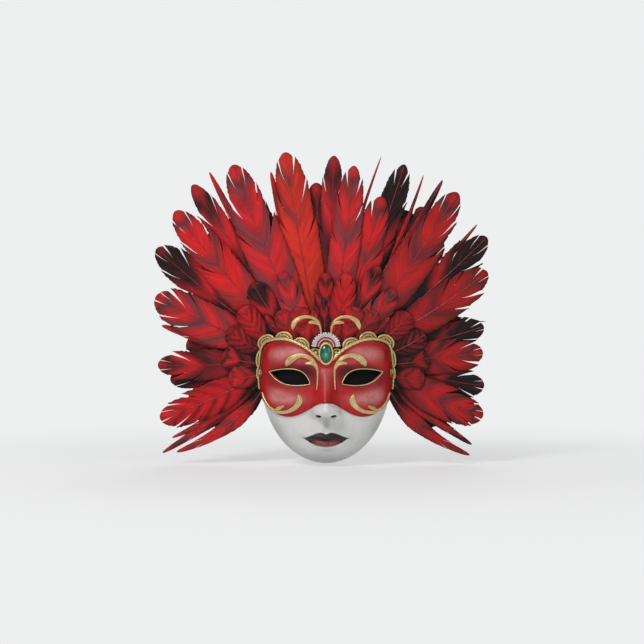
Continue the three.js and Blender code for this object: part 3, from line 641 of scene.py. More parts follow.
class Shader:
    """A node material built in a few words."""

    def __init__(self, name, **constants):
        self.material = bpy.data.materials.new(name)
        self.material.use_nodes = True
        self.tree = self.material.node_tree
        self.surface = self.tree.nodes["Principled BSDF"]
        for key, value in constants.items():
            self.surface.inputs[key.replace("_", " ").title().replace("Ior", "IOR")].default_value = value
        self.place = self.add("TexCoord", out="Object")

    def feed(self, socket, value):
        if isinstance(value, bpy.types.NodeSocket):
            self.tree.links.new(value, socket)
        elif value is not None:
            socket.default_value = value

    def add(self, kind, inputs=None, out=0, **settings):
        node = self.tree.nodes.new("ShaderNode" + kind)
        for key, value in settings.items():
            setattr(node, key, value)
        for key, value in (inputs or {}).items():
            self.feed(node.inputs[key], value)
        return node.outputs[out]

    def math(self, operation, a, b=None, clamped=False):
        return self.add("Math", {0: a, 1: b}, operation=operation, use_clamp=clamped)

    def times(self, a, b):
        return self.math("MULTIPLY", a, b)

    def mix(self, factor, a, b, blend="MIX"):
        inputs = {0: factor, 6: (*a, 1) if isinstance(a, tuple) else a}
        inputs[7] = (*b, 1) if isinstance(b, tuple) else b
        return self.add("Mix", inputs, out=2, data_type="RGBA", blend_type=blend)

    def fit(self, value, low, high, start=0.0, end=1.0):
        inputs = {0: value, 1: low, 2: high, 3: start, 4: end}
        return self.add("MapRange", inputs, interpolation_type="SMOOTHSTEP")

    def noise(self, scale, detail=3.0, roughness=0.5, vector=None, out=0):
        inputs = {"Vector": vector or self.place, "Scale": scale, "Detail": detail}
        return self.add("TexNoise", {**inputs, "Roughness": roughness}, out=out)

    def cells(self, scale, vector=None, feature="F1"):
        return self.add("TexVoronoi", {"Vector": vector or self.place, "Scale": scale}, feature=feature)

    def layer(self, name, out="Fac"):
        return self.add("Attribute", out=out, attribute_name=name)

    def stretch(self, x, y, z):
        return self.add("VectorMath", {0: self.place, 1: (x, y, z)}, operation="MULTIPLY")

    def set(self, **inputs):
        for key, value in inputs.items():
            self.feed(self.surface.inputs[key.replace("_", " ")], value)

    def bumps(self, height, strength, distance):
        return self.add("Bump", {"Strength": strength, "Distance": distance, "Height": height})


def white_paper():
    """Gessoed papier-mache, satin outside and bare torn paper inside."""
    s = Shader("white_paper", roughness=0.42, coat_weight=0.04, coat_roughness=0.3, specular_ior_level=0.3)
    fine, broad = s.noise(900, 4, 0.6), s.noise(38, 3, 0.55)
    tone_and_shade = s.mix(s.fit(broad, 0.3, 0.7), (0.66, 0.66, 0.65), (0.745, 0.745, 0.735))
    # Grey airbrush over the tone: painted shade at the jaw, nose, philtrum, lower lip, mouth corners and chin.
    tone_and_shade = s.mix(s.times(s.layer("airbrushed_shade"), 0.62), tone_and_shade, (0.23, 0.23, 0.235))
    lip_noise = s.fit(s.noise(260, 3, 0.6, s.stretch(2.6, 1, 0.7)), 0.3, 0.75)
    upper = s.mix(lip_noise, (0.014, 0.006, 0.006), (0.050, 0.018, 0.017))
    lower = s.mix(lip_noise, (0.15, 0.038, 0.036), (0.30, 0.095, 0.09))
    lower = s.mix(s.layer("lip_edge"), lower, (0.012, 0.005, 0.005))
    colour = s.mix(s.layer("lip_upper"), tone_and_shade, upper)
    colour = s.mix(s.layer("lip_lower"), colour, lower)
    colour = s.mix(s.times(s.layer("lip_rim"), 0.75), colour, (0.42, 0.02, 0.03))
    colour = s.mix(s.layer("lip_seam"), colour, (0.010, 0.004, 0.004))
    strips = s.cells(62, s.add("VectorMath", {0: s.place, 1: s.noise(14, 2, out=1)}, operation="ADD"))
    torn = s.mix(s.fit(strips, 0.15, 0.9), (0.47, 0.41, 0.32), (0.60, 0.54, 0.44))
    torn = s.mix(s.fit(s.noise(420, 4, 0.7), 0.35, 0.7), torn, (0.40, 0.35, 0.27))
    inner = s.layer("inner")
    s.set(Base_Color=s.mix(inner, colour, torn))
    lip = s.math("ADD", s.layer("lip_upper"), s.layer("lip_lower"), clamped=True)
    satin = s.fit(broad, 0.3, 0.7, 0.36, 0.5)
    satin = s.math("ADD", satin, s.times(lip, 0.1))
    s.set(Roughness=s.math("MAXIMUM", satin, s.times(inner, 0.85)))
    height = s.math("ADD", s.times(fine, 0.3), broad)
    height = s.math("ADD", height, s.times(inner, s.times(strips, 6.0)))
    s.set(Normal=s.bumps(height, 0.35, 0.0003))
    return s.material


def red_lacquer():
    s = Shader("red_lacquer", roughness=0.4, coat_weight=0.14, coat_roughness=0.3, specular_ior_level=0.25)
    broad = s.noise(45, 4, 0.6)
    red = s.mix(s.fit(broad, 0.35, 0.65), (0.36, 0.005, 0.008), (0.47, 0.009, 0.011))
    # Lighter pink: a painted highlight on the brow lobes, cheek lobes and nose bridge.
    painted_highlight = s.mix(s.fit(s.noise(160, 3), 0.3, 0.7), (0.50, 0.155, 0.15), (0.58, 0.22, 0.21))
    colour = s.mix(s.layer("painted_highlight"), red, painted_highlight)
    # Dark red: painted shade in the eye sockets, above the inner eye corners and along the outline.
    colour = s.mix(s.layer("painted_shade"), colour, (0.085, 0.002, 0.005))
    scuffs = s.fit(s.noise(520, 5, 0.7), 0.62, 0.8)
    wear = s.times(s.layer("edge"), scuffs)
    colour = s.mix(s.times(wear, 0.6), colour, (0.75, 0.60, 0.50))
    s.set(Base_Color=colour)
    s.set(Roughness=s.fit(s.noise(90, 4, 0.6), 0.3, 0.7, 0.42, 0.58))
    height = s.math("ADD", broad, s.times(s.noise(1100, 3), 0.12))
    s.set(Normal=s.bumps(height, 0.3, 0.0003))
    return s.material


def gold(name, rough, shade, light, grain, strength, metallic=0.85):
    """Gold leaf or metallic thread, with a painted highlight on its high places."""
    s = Shader(name, metallic=metallic, roughness=rough)
    wear = s.fit(s.noise(grain * 0.35, 4, 0.65), 0.32, 0.68)
    # Pointiness finds the high places, which get a lighter gold as a painted highlight.
    point = s.add("NewGeometry", out="Pointiness")
    high = s.fit(point, 0.48, 0.56)
    colour = s.mix(wear, shade, light)
    colour = s.mix(s.times(high, 0.6), colour, tuple(min(1.0, c * 1.35) for c in light))
    s.set(Base_Color=colour, Roughness=s.fit(s.noise(grain, 3), 0.3, 0.7, rough - 0.07, rough + 0.12))
    s.set(Normal=s.bumps(s.noise(grain * 1.6, 3, 0.6), strength, 0.0002))
    return s.material


def thread(name, shade, light, scale, rough=0.75, sheen=0.3, depth=0.0004):
    """A woven or knotted textile."""
    s = Shader(name, roughness=rough, sheen_weight=sheen, sheen_roughness=0.5)
    warp = s.add("TexWave", {"Vector": s.place, "Scale": scale, "Distortion": 1.2}, bands_direction="X")
    weft = s.add("TexWave", {"Vector": s.place, "Scale": scale, "Distortion": 1.2}, bands_direction="Z")
    weave = s.math("MAXIMUM", warp, weft)
    fuzz = s.noise(scale * 3, 4, 0.65)
    colour = s.mix(s.fit(weave, 0.2, 0.95), shade, light)
    colour = s.mix(s.times(s.fit(fuzz, 0.4, 0.8), 0.5), colour, shade)
    s.set(Base_Color=colour, Roughness=s.fit(fuzz, 0.3, 0.7, rough - 0.1, rough + 0.1))
    s.set(Normal=s.bumps(s.math("ADD", weave, s.times(fuzz, 0.5)), 0.6, depth))
    return s.material


def green_glass():
    s = Shader("green_glass", roughness=0.12, coat_weight=0.45, coat_roughness=0.03, ior=1.6)
    # Painted light in the stone: painted shade towards the rim and a painted highlight at the middle of the dome.
    depth = s.layer("centre")
    cloud = s.fit(s.noise(210, 4, 0.6), 0.35, 0.7)
    colour = s.mix(cloud, (0.0, 0.17, 0.085), (0.008, 0.42, 0.25))
    colour = s.mix(s.fit(depth, 0.15, 0.9), (0.0, 0.055, 0.028), colour)
    colour = s.mix(s.fit(depth, 0.78, 1.0), colour, (0.07, 0.60, 0.40))
    s.set(Base_Color=colour)
    s.set(Normal=s.bumps(s.cells(330), 0.25, 0.0005))
    return s.material


def plume():
    """Dyed feather vane: its colour layer holds the shares of bright, mauve and black, and the black share also
    carries painted shade.
    """
    s = Shader(
        "plume",
        roughness=0.5,
        sheen_weight=0.06,
        sheen_roughness=0.4,
        sheen_tint=(1.0, 0.45, 0.4, 1),
        specular_ior_level=0.22,
    )
    dye_and_shade, strand = s.layer("dye_and_shade", "Vector"), s.layer("strand", "Vector")
    split = s.tree.nodes.new("ShaderNodeSeparateXYZ")
    s.feed(split.inputs[0], dye_and_shade)
    bright, mauve, black = split.outputs
    barbs = s.add("VectorMath", {0: strand, 1: (900.0, 1.2, 7.0)}, operation="MULTIPLY")
    hairs = s.add("TexNoise", {"Vector": barbs, "Scale": 1.0, "Detail": 3.0, "Roughness": 0.6})
    groups = s.add("VectorMath", {0: strand, 1: (130.0, 0.9, 31.0)}, operation="MULTIPLY")
    locks = s.add("TexNoise", {"Vector": groups, "Scale": 1.0, "Detail": 2.0, "Roughness": 0.5})
    colour = s.mix(bright, (0.27, 0.0045, 0.0075), (0.80, 0.010, 0.014))
    warm = s.layer("warm")
    colour = s.mix(s.times(warm, 0.8), colour, (0.66, 0.050, 0.014))
    colour = s.mix(mauve, colour, (0.16, 0.042, 0.050))
    # The black share mixes black dye with painted shade.
    colour = s.mix(black, colour, (0.0055, 0.0022, 0.0028))
    colour = s.mix(s.fit(locks, 0.45, 0.78, 0.0, 0.34), colour, (0.14, 0.006, 0.010))
    shade = s.fit(hairs, 0.25, 0.75, 0.72, 1.15)
    tone = s.add("CombineXYZ", {0: shade, 1: shade, 2: shade})
    colour = s.mix(1.0, colour, tone, "MULTIPLY")
    s.set(Base_Color=colour, Roughness=s.fit(hairs, 0.25, 0.75, 0.42, 0.62))
    s.set(Normal=s.bumps(s.math("ADD", hairs, locks), 0.45, 0.0004))
    return s.material


def quill():
    s = Shader("quill", roughness=0.35)
    tone = s.fit(s.noise(140, 3), 0.3, 0.7)
    s.set(Base_Color=s.mix(tone, (0.16, 0.010, 0.012), (0.34, 0.022, 0.022)))
    s.set(Normal=s.bumps(s.noise(900, 2), 0.2, 0.0002))
    return s.material


def black_net():
    s = Shader("black_net", roughness=0.9, specular_ior_level=0.15)
    net = s.cells(900, feature="DISTANCE_TO_EDGE")
    s.set(Base_Color=s.mix(s.fit(net, 0.02, 0.12), (0.012, 0.012, 0.013), (0.002, 0.002, 0.003)))
    s.set(Normal=s.bumps(net, 0.6, 0.0004))
    return s.material


def shade_black_paper():
    # Near-black paper for the patches that paint shade behind the nostrils.
    s = Shader("shade_black_paper", roughness=0.95, specular_ior_level=0.1)
    s.set(Base_Color=s.mix(s.noise(60), (0.002, 0.002, 0.003), (0.009, 0.009, 0.010)))
    return s.material


PAPER = white_paper()
LACQUER = red_lacquer()
RELIEF = gold("gold_relief", 0.44, (0.44, 0.32, 0.12), (0.66, 0.53, 0.26), 420, 0.25, 0.6)
CORD = gold("gold_cord", 0.4, (0.40, 0.28, 0.09), (0.68, 0.53, 0.25), 900, 0.35, 0.7)
BRAID = gold("gold_braid", 0.44, (0.36, 0.25, 0.08), (0.66, 0.51, 0.24), 1300, 0.5, 0.7)
GAUZE = gold("gold_gauze", 0.55, (0.14, 0.095, 0.03), (0.38, 0.28, 0.11), 1500, 0.6, 0.5)
BRASS = gold("brass", 0.34, (0.34, 0.22, 0.08), (0.52, 0.37, 0.16), 260, 0.12, 1.0)
GLASS = green_glass()
LACE = thread("white_lace", (0.55, 0.50, 0.49), (0.86, 0.84, 0.83), 420, 0.85, 0.2)
RIBBON = thread("red_ribbon", (0.16, 0.006, 0.012), (0.42, 0.016, 0.030), 520, 0.4, 0.5, 0.0002)
BUCKRAM = thread("buckram", (0.012, 0.008, 0.008), (0.075, 0.028, 0.028), 210, 0.95, 0.1)
JERSEY = thread("foam_cover", (0.008, 0.008, 0.009), (0.04, 0.04, 0.043), 330, 0.95, 0.3)
NET = black_net()
SHADE_BLACK_PAPER = shade_black_paper()
STITCH = thread("stitching", (0.20, 0.02, 0.02), (0.45, 0.06, 0.06), 900, 0.7, 0.2)
PLUME = plume()
QUILL = quill()

# ---------------------------------------------------------- shell and half mask


def make_face():
    def front(x, z, inside):
        return on_face(x, z, np.zeros_like(x), True)

    def back(x, z, inside):
        return on_face(x, z, np.full_like(x, -SHELL))

    points, groups = sheet_over(face_outline, FACE_CENTRE, *FACE_MESH, front, back)
    obj = piece("shell", points, groups, PAPER, "face_shell", "white_paper")
    pierce(obj, [prism(nostril())])
    p = points_of(obj)
    x, z = p[:, 0], p[:, 2]
    side = np.abs(x)
    inner = smooth((p[:, 1] - on_face(x, z, np.zeros_like(x))[:, 1] - 0.9) / 0.6)
    on_upper, on_lower, parting, rim = lip_shares(x, z)
    outer = 1 - inner
    jaw = smooth((oval_share(x, z) - 0.80) / 0.2)
    # The grey airbrush paints shade along the jaw, beside and under the nose, in the philtrum, under the lower
    # lip, at the mouth corners, on the lower cheeks and under the chin.
    airbrushed_shade = 0.8 * jaw * smooth((-z - 30) / 40) + 0.5 * bump(side, z, 18.5, -43, 4.5, 6)
    airbrushed_shade += 0.45 * bump(x, z, 0, -50.5, 12, 2.6) + 0.6 * bump(x, z, 0, -57, 4.6, 7.5)
    airbrushed_shade += 0.26 * bump(x, z, 0, -91, 15, 3.4) + 0.22 * bump(side, z, 31, -76, 5, 5)
    airbrushed_shade += 0.3 * bump(side, z, 66, -58, 14, 22) + 0.34 * bump(x, z, 0, -106, 30, 11)
    corner = smooth((side - 9) / 12)
    layers = {
        "inner": inner,
        "airbrushed_shade": clamp(airbrushed_shade),
        "lip_upper": on_upper * outer,
        "lip_lower": on_lower * outer,
        "lip_edge": clamp(corner),
        "lip_rim": rim * outer * smooth((20 - side) / 6),
        "lip_seam": clamp(parting * 0.9) * outer,
    }
    paint(obj, layers)


def make_half_mask():
    def front(x, z, inside):
        rolled = np.sqrt(1 - (1 - clamp(inside / 1.3)) ** 2)
        return on_face(x, z, GAP * 1.5 + (TOP - GAP * 1.5) * (0.35 + 0.65 * rolled))

    def back(x, z, inside):
        return on_face(x, z, np.full_like(x, GAP * 1.2))

    points, groups = sheet_over(half_outline, FACE_CENTRE, *HALF_MESH, front, back)
    obj = piece("lacquer", points, groups, LACQUER, "half_mask", "red_lacquer")
    pierce(obj)
    p = points_of(obj)
    x, z = p[:, 0], p[:, 2]
    side = np.abs(x)
    # Where the pink painted highlight falls: the brow lobes, the cheek lobes and the bridge of the nose.
    brow_lobe = bump(side, z, 58, 29, 14, 8) + 0.75 * bump(side, z, 38, 33, 13, 5)
    brow_lobe += 0.35 * bump(side, z, 30, 20, 9, 4)
    cheek_lobe = bump(side, z, 62, -22, 11, 9) + 0.95 * bump(side, z, 45, -26.5, 18, 6.5)
    bridge = 0.55 * bump(x, z, 0, 11, 6.5, 15) + 0.2 * bump(x, z, 0, -8, 4.5, 10)
    # Where the dark red painted shade falls: round the eye sockets, heavier above them, at the inner eye corners
    # and along the outline.
    eye = np.hypot((side - EYE_CENTRE[0]) / 27, (z - EYE_CENTRE[1] + 1) / 13)
    socket = np.exp(-(((eye - 1.0) / 0.3) ** 2))
    offset = np.stack([x - FACE_CENTRE[0], z - FACE_CENTRE[1]])
    angle = np.arctan2(offset[1], offset[0])
    margin = reach(half_outline, FACE_CENTRE, angle) - np.hypot(*offset)
    rim = np.exp(-((margin / 5.5) ** 2))
    inner_eye = 0.9 * bump(side, z, 25, 9, 8, 7.5) + 0.3 * bump(side, z, 16, 2, 4, 14)
    upper_dark = 0.62 + 0.38 * smooth((z - EYE_CENTRE[1] + 4) / 12)
    layers = {
        "painted_highlight": clamp(0.92 * clamp(brow_lobe + cheek_lobe + bridge) - 0.5 * rim),
        "painted_shade": clamp(0.72 * socket * upper_dark + 0.3 * rim + 0.75 * inner_eye - 0.06),
        "edge": np.exp(-((margin / 1.6) ** 2)),
    }
    paint(obj, layers)


make_face()
make_half_mask()

# ------------------------------------------------------------------- gold trim
rim_line = np.vstack([top_edge, oval_arc(TEMPLE, -0.14, 120)[1:]])
rim_lengths = lengths(rim_line)
RIM_END = rim_lengths[-1]


def beside_rim(length, out, behind):
    """Points out from the lacquer's edge and behind its surface, right side."""
    length = np.clip(np.asarray(length, float), 0, RIM_END)
    at = np.column_stack([np.interp(length, rim_lengths, rim_line[:, k]) for k in (0, 1)])
    span = 3.0
    ahead = np.column_stack(
        [np.interp(np.minimum(length + span, RIM_END), rim_lengths, rim_line[:, k]) for k in (0, 1)]
    )
    back = np.column_stack([np.interp(np.maximum(length - span, 0), rim_lengths, rim_line[:, k]) for k in (0, 1)])
    along = ahead - back
    along /= np.linalg.norm(along, axis=1)[:, None]
    outward = np.column_stack([-along[:, 1], along[:, 0]])
    normal = face_normal(at[:, 0], at[:, 1])
    lean = np.maximum(0, normal[:, 0] * outward[:, 0] + normal[:, 2] * outward[:, 1])
    clear = TOP * lean + GAP + out
    y = face_y(at[:, 0], at[:, 1]) + behind
    return np.column_stack([at[:, 0] + outward[:, 0] * clear, y, at[:, 1] + outward[:, 1] * clear])


def cord_radius(length):
    return lerp(CORD_TOP, CORD_SIDE, smooth((np.asarray(length) - CORD_THINS) / CORD_THINNING))


def beside_braid(length, rise, forward=0.0):
    behind = cord_radius(length) + BRAID_RADIUS + 0.6 - forward
    return beside_rim(length, BRAID_RADIUS + rise, behind)


def edge_cord():
    at = np.linspace(CORD_START, RIM_END, 420)
    radius = cord_radius(at)
    return tube(beside_rim(at, radius, -0.8), radius, 20, plies=3, twist=1.15, relief=0.14)


def arch(start, end, rise, radius, scale, forward=0.0, steps=46):
    middle, half = (start + end) / 2, (end - start) / 2
    turn = np.linspace(0, math.pi, steps)
    path = beside_braid(middle - half * scale * np.cos(turn), rise * scale * np.sin(turn), forward)
    return tube(path, radius, 10, plies=2, twist=3.0, relief=0.16)


def shell_web(start, end, rise):
    """The ribbed gold gauze inside a scallop."""
    middle, half = (start + end) / 2, (end - start) / 2
    turn, share = np.linspace(0.02, math.pi - 0.02, 61), np.linspace(0.08, 0.98, 9)
    t, s = [a.ravel() for a in np.meshgrid(turn, share, indexing="ij")]
    ribs = 0.42 * s * np.cos(t * 18)
    path = beside_braid(middle - half * s * np.cos(t), rise * s * np.sin(t), 0.35 - ribs)
    return skin(path, grid_faces(len(turn), len(share)), np.array([0.0, 0.5, 0.0]))


def scallop_trim():
    base = np.linspace(10, RIM_END - 1, 300)
    shapes = [tube(beside_braid(base, np.zeros_like(base)), BRAID_RADIUS, 10, plies=2, twist=2.4, relief=0.16)]
    webs = []
    for start, end, rise in SCALLOPS:
        shapes.append(arch(start, end, rise, BRAID_RADIUS, 1.0))
        webs.append(shell_web(start, end, rise))
        if rise > 4:
            shapes.append(arch(start, end, rise, 0.85, 0.62, 0.9))
            middle = beside_braid(np.array([(start + end) / 2]), np.array([rise * 0.2]), 1.0)[0]
            shapes.append(ball(middle, rise * 0.17 + 0.4, 16, 10))
    for length in (24.6, 50.0, 71.8, 92.3):
        knot = beside_braid(np.array([length]), np.array([1.2]), 1.0)[0]
        shapes.append(ball(knot, 1.35))
    shapes.append(arch(13.5, 25.5, 8, 0.95, 1.0, 1.4))
    webs.append(shell_web(13.5, 25.5, 7.8))
    shapes.append(ball(beside_braid(np.array([18.8]), np.array([3.4]), 2.2)[0], 2.7, 20, 14))
    shapes.append(ball(beside_braid(np.array([24.4]), np.array([2.2]), 1.8)[0], 1.9, 18, 12))
    return shapes, webs


def split_trim():
    """The braid, then the gauze webs, as one shape with two materials."""
    braid, webs = scallop_trim()
    points, groups = joined([*braid, *webs])
    first = sum(len(shape[0]) for shape in braid)
    return (points, groups), second_material(groups, first)


def eye_rim():
    line = eye_outline(1.035, 160)
    return tube(on_face(line[:, 0], line[:, 1], np.full(len(line), TOP + GAP + 0.85)), 0.55, 14, closed=True)


def leaf(knots, place, steps=90):
    """A tapering carved relief with a soft crest, laid over a surface."""
    line = spline(knots, steps)
    along = np.gradient(line[:, :2], axis=0)
    along /= np.linalg.norm(along, axis=1)[:, None]
    across = np.column_stack([-along[:, 1], along[:, 0]])
    end = np.minimum(np.arange(steps), np.arange(steps)[::-1]) / 4
    half = np.maximum(line[:, 2], 0.5) / 2 * np.sqrt(clamp(end * 0.9 + 0.1))
    height = RELIEF_HEIGHT * np.minimum(1, 0.45 + half / 4)
    share = np.linspace(-1, 1, 15)
    crown = (1 - share**2) ** 0.62 * (1 + 0.16 * np.cos(share * math.pi * 2.4))
    crown = crown / crown.max()
    top_x = line[:, 0, None] + across[:, 0, None] * share * half[:, None]
    top_z = line[:, 1, None] + across[:, 1, None] * share * half[:, None]
    top = place(top_x, top_z, crown * height[:, None])
    under = place(top_x[:, ::-1], top_z[:, ::-1], np.full_like(top_x, -0.15))
    return loft(np.concatenate([top, under[:, 1:-1]], axis=1))


def over_lacquer(x, z, rise):
    return on_face(x, z, TOP + GAP * 0.6 + rise)


def over_crest(x, z, rise):
    return np.stack([x, CREST_PLANE - rise, z], axis=-1)


def pair(name, shape, material, slot, which=None):
    for side, made in sides_of(shape):
        piece(f"{name}_{side}_gilt", *made, material, f"{name}_{side}", slot, sharp=50, which=which)


pair("edge_cord", edge_cord(), CORD, "gold_cord")
braid_shape, braid_which = split_trim()
pair("scallop_trim", braid_shape, [BRAID, GAUZE], "gold_braid", braid_which)
pair("eye_rim", eye_rim(), RELIEF, "gold_relief")
SCROLLS = {
    "brow_scroll": (BROW_STEM, BROW_CURL, over_lacquer),
    "cheek_scroll": (CHEEK_STEM, CHEEK_CURL, over_lacquer),
    "crest_scroll": (CREST_STEM, CREST_CURL, over_crest),
}
for name, (stem, curl, place) in SCROLLS.items():
    pair(name, joined([leaf(stem, place), leaf(curl, place, 50)]), RELIEF, "gold_relief")

# ------------------------------------------------------- cabochon and rosette
gem_centre = (0.0, GEM["back"], GEM["z"])


def make_gem():
    profile = [(0, 0), (0.98, 0), (1.0, 0.3), (1.0, 2.6), (0.985, 3.1), (0.95, 3.5), (0.9, 3.6)]
    profile += [(0.86, 3.45), (0.835, 3.0), (0.82, 1.4), (0, 1.4)]
    shapes = [turned(profile, GEM["half_width"], GEM["half_height"], gem_centre)]
    for turn in np.linspace(0, 2 * math.pi, 34, endpoint=False):
        x, z = GEM["half_width"] * math.cos(turn), GEM["half_height"] * math.sin(turn)
        shapes.append(ball((x, GEM["back"] - 1.9, GEM["z"] + z), 0.78, 10, 7))
    piece("bezel", *joined(shapes), RELIEF, "gem_bezel", "gold_relief", sharp=50)
    dome = [(0.80 * math.cos(t), 2.6 + 3.6 * math.sin(t)) for t in np.linspace(0, math.pi / 2, 26)]
    points, groups = turned([(0, 1.75), (0.79, 1.75), *dome], GEM["half_width"], GEM["half_height"], gem_centre)
    # centre runs from 1 at the middle of the dome to 0 at the rim; it drives the stone's painted highlight and
    # shade.
    share = np.hypot(points[:, 0] / GEM["half_width"], (points[:, 2] - GEM["z"]) / GEM["half_height"]) / 0.8
    piece("cabochon", points, groups, GLASS, "gem_cabochon", "green_glass", {"centre": 1 - clamp(share)})


def half_ring(inner, outer, wave, pleats, depth, steps=241, rows=9):
    """A pleated half ring of cloth, standing proud of the rosette's back."""
    turn, share = np.linspace(0, math.pi, steps), np.linspace(0, 1, rows)
    t, s = [a.ravel() for a in np.meshgrid(turn, share, indexing="ij")]
    edge = outer - wave + wave * np.abs(np.sin(t * 8.5)) ** 0.6
    radius = lerp(inner, edge, s)
    y = ROSETTE["front"] + 0.7 + depth * np.cos(t * pleats) * s
    points = np.column_stack([radius * np.cos(t), y, ROSETTE["z"] + radius * np.sin(t)])
    return skin(points, grid_faces(steps, rows), np.array([0.0, 0.7, 0.0]))


def half_cord(radius, thick, forward):
    turn = np.linspace(0, math.pi, 120)
    y = np.full(120, ROSETTE["front"] - forward)
    path = np.column_stack([radius * np.cos(turn), y, ROSETTE["z"] + radius * np.sin(turn)])
    return tube(path, thick, 8, plies=2, twist=3.2, relief=0.18)


def picots():
    """Small loops round the lace's outer edge."""
    shapes = []
    for k in range(17):
        turn = math.pi * (k + 0.5) / 17
        x, z = 16.9 * math.cos(turn), ROSETTE["z"] + 16.9 * math.sin(turn)
        shapes.append(ball((x, ROSETTE["front"] + 0.1, z), 1.15, 12, 8))
    return shapes


def make_rosette():
    lace = [half_ring(ROSETTE["band"] + 0.4, 17.4, 1.7, 68, 0.3), half_cord(14.9, 0.5, 0.1), *picots()]
    piece("rosette_lace", *joined(lace), LACE, "lace_rosette", "white_lace")
    ribbon = [half_ring(ROSETTE["core"] + 0.35, ROSETTE["band"], 0, 40, 0.16)]
    white = [half_cord(12.75, 0.5, 0.1), half_cord(9.4, 0.5, 0.1)]
    points, groups = joined([*ribbon, *white])
    which = second_material(groups, len(ribbon[0][0]))
    piece("rosette_ribbon", points, groups, [RIBBON, LACE], "rosette_band", "red_ribbon", which=which)
    core = [half_ring(0.6, ROSETTE["core"] - 0.2, 0.3, 26, 0.35), half_cord(8.2, 0.45, 0.1)]
    piece("rosette_centre", *joined(core), RIBBON, "rosette_core", "red_ribbon")


make_gem()
make_rosette()

# ------------------------------------------------------------ fan of feathers


def fan_y(x, z, layer):
    angle = np.degrees(np.arctan2(z, np.abs(x)))
    radius = np.hypot(x, z)
    over = smooth((angle - FAN_TURN) / FAN_OVER) ** 0.8
    curl = lerp(CURL_SIDE, CURL_TOP, over) * clamp((radius - 80) / 170) ** 2
    gap = FAN_PITCH * lerp(FAN_ROOT_PITCH, 1, smooth((radius - 60) / 70))
    return FAN_SIDE - FAN_FRONT * over - curl + gap * layer


def band_inner(angle):
    return np.maximum(BAND["least"], reach(face_outline, (0.0, 0.0), angle) - BAND["margin"])


# Dye patterns: for bright, mauve and black, a share for the whole vane and then
# chevron bands as (place along the shaft, spread, share).
PATTERNS = {
    "crimson": (
        (0.35, [(0.98, 0.05, 0.5), (0.64, 0.11, 0.45), (0.36, 0.1, 0.4)]),
        (0.05, [(0.83, 0.05, 0.5), (0.47, 0.06, 0.4)]),
        (0.0, [(0.85, 0.03, 0.4), (0.5, 0.05, 0.35), (0.1, 0.13, 0.8)]),
    ),
    "flame": (
        (0.45, [(0.98, 0.05, 0.5), (0.74, 0.07, 0.5), (0.48, 0.1, 0.5)]),
        (0.05, [(0.88, 0.04, 0.8), (0.62, 0.045, 0.7), (0.36, 0.05, 0.5)]),
        (0.0, [(0.89, 0.025, 0.5), (0.62, 0.03, 0.3), (0.09, 0.14, 0.8)]),
    ),
    "mauve": (
        (0.34, [(0.98, 0.04, 0.6), (0.73, 0.05, 0.7), (0.5, 0.08, 0.8), (0.28, 0.07, 0.5)]),
        (0.22, [(0.88, 0.05, 0.7), (0.62, 0.05, 0.75), (0.38, 0.05, 0.6)]),
        (0.0, [(0.91, 0.025, 0.5), (0.1, 0.12, 0.75)]),
    ),
    "ember": (
        (0.5, [(0.96, 0.06, 0.4), (0.58, 0.14, 0.4)]),
        (0.0, [(0.86, 0.05, 0.5), (0.68, 0.045, 0.4)]),
        (0.0, [(0.85, 0.04, 0.35), (0.67, 0.03, 0.3), (0.08, 0.15, 0.8)]),
    ),
    "night": (
        (0.1, [(0.58, 0.09, 0.8), (0.99, 0.04, 0.3)]),
        (0.05, [(0.74, 0.05, 0.35)]),
        (0.95, [(0.99, 0.05, -0.5), (0.58, 0.08, -0.75), (0.36, 0.05, -0.2)]),
    ),
    "dusk": (
        (0.2, [(0.99, 0.05, 0.3), (0.68, 0.09, 0.6), (0.35, 0.08, 0.4)]),
        (0.15, [(0.8, 0.06, 0.3), (0.5, 0.05, 0.4)]),
        (0.4, [(0.99, 0.05, -0.4), (0.86, 0.05, 0.5), (0.55, 0.07, 0.4), (0.7, 0.07, -0.5), (0.08, 0.15, 0.6)]),
    ),
    "barred": (
        (0.7, [(0.95, 0.05, 0.3)]),
        (0.0, [(0.9, 0.03, 0.5)]),
        (0.0, [(0.8, 0.03, 0.65), (0.66, 0.03, 0.7), (0.52, 0.03, 0.7), (0.38, 0.03, 0.7), (0.1, 0.14, 0.95)]),
    ),
    "barred_dark": (
        (0.3, [(0.96, 0.05, 0.5), (0.73, 0.05, 0.5), (0.57, 0.04, 0.5)]),
        (0.0, [(0.62, 0.04, 0.3)]),
        (0.25, [(0.84, 0.05, 0.7), (0.65, 0.035, 0.7), (0.49, 0.035, 0.7), (0.34, 0.035, 0.6), (0.1, 0.12, 0.8)]),
    ),
}
WARMTH = {"ember": 0.75, "flame": 0.12, "crimson": 0.08}


def wander(u, seed, waves=3, scale=6.0):
    """A smooth, repeatable wobble along u, about -1 to 1."""
    rng = np.random.default_rng(seed)
    total = np.zeros_like(u)
    for _ in range(waves):
        total += np.sin(u * scale * rng.uniform(0.5, 2.2) + rng.uniform(0, 6.3))
    return total / waves


def outline_share(t):
    """Half width of a vane as a share of its widest, from root to tip."""
    body = 0.24 + 0.76 * smooth(t / 0.5) ** 0.9
    foot = smooth((t - 0.015) / 0.05)
    tip = np.sqrt(np.maximum(0, 1 - clamp((t - 0.80) / 0.20) ** 2.4))
    return body * foot * tip


def fingers(rng, width, length):
    """Where each side of a vane is split, how deep, and what width is left."""
    if length < 45 or width < 14:
        return []
    count = 3 if width > 37 and length > 120 else 2 if width > 26 and length > 100 else 1
    places = {1: [0.70], 2: [0.60, 0.765], 3: [0.56, 0.70, 0.84]}[count] + rng.uniform(-0.03, 0.03, count)
    kept = rng.permutation([0.93, 0.78, 0.9][:count])
    return [(t, rng.uniform(0.16, 0.4), keep) for t, keep in zip(places, kept)]


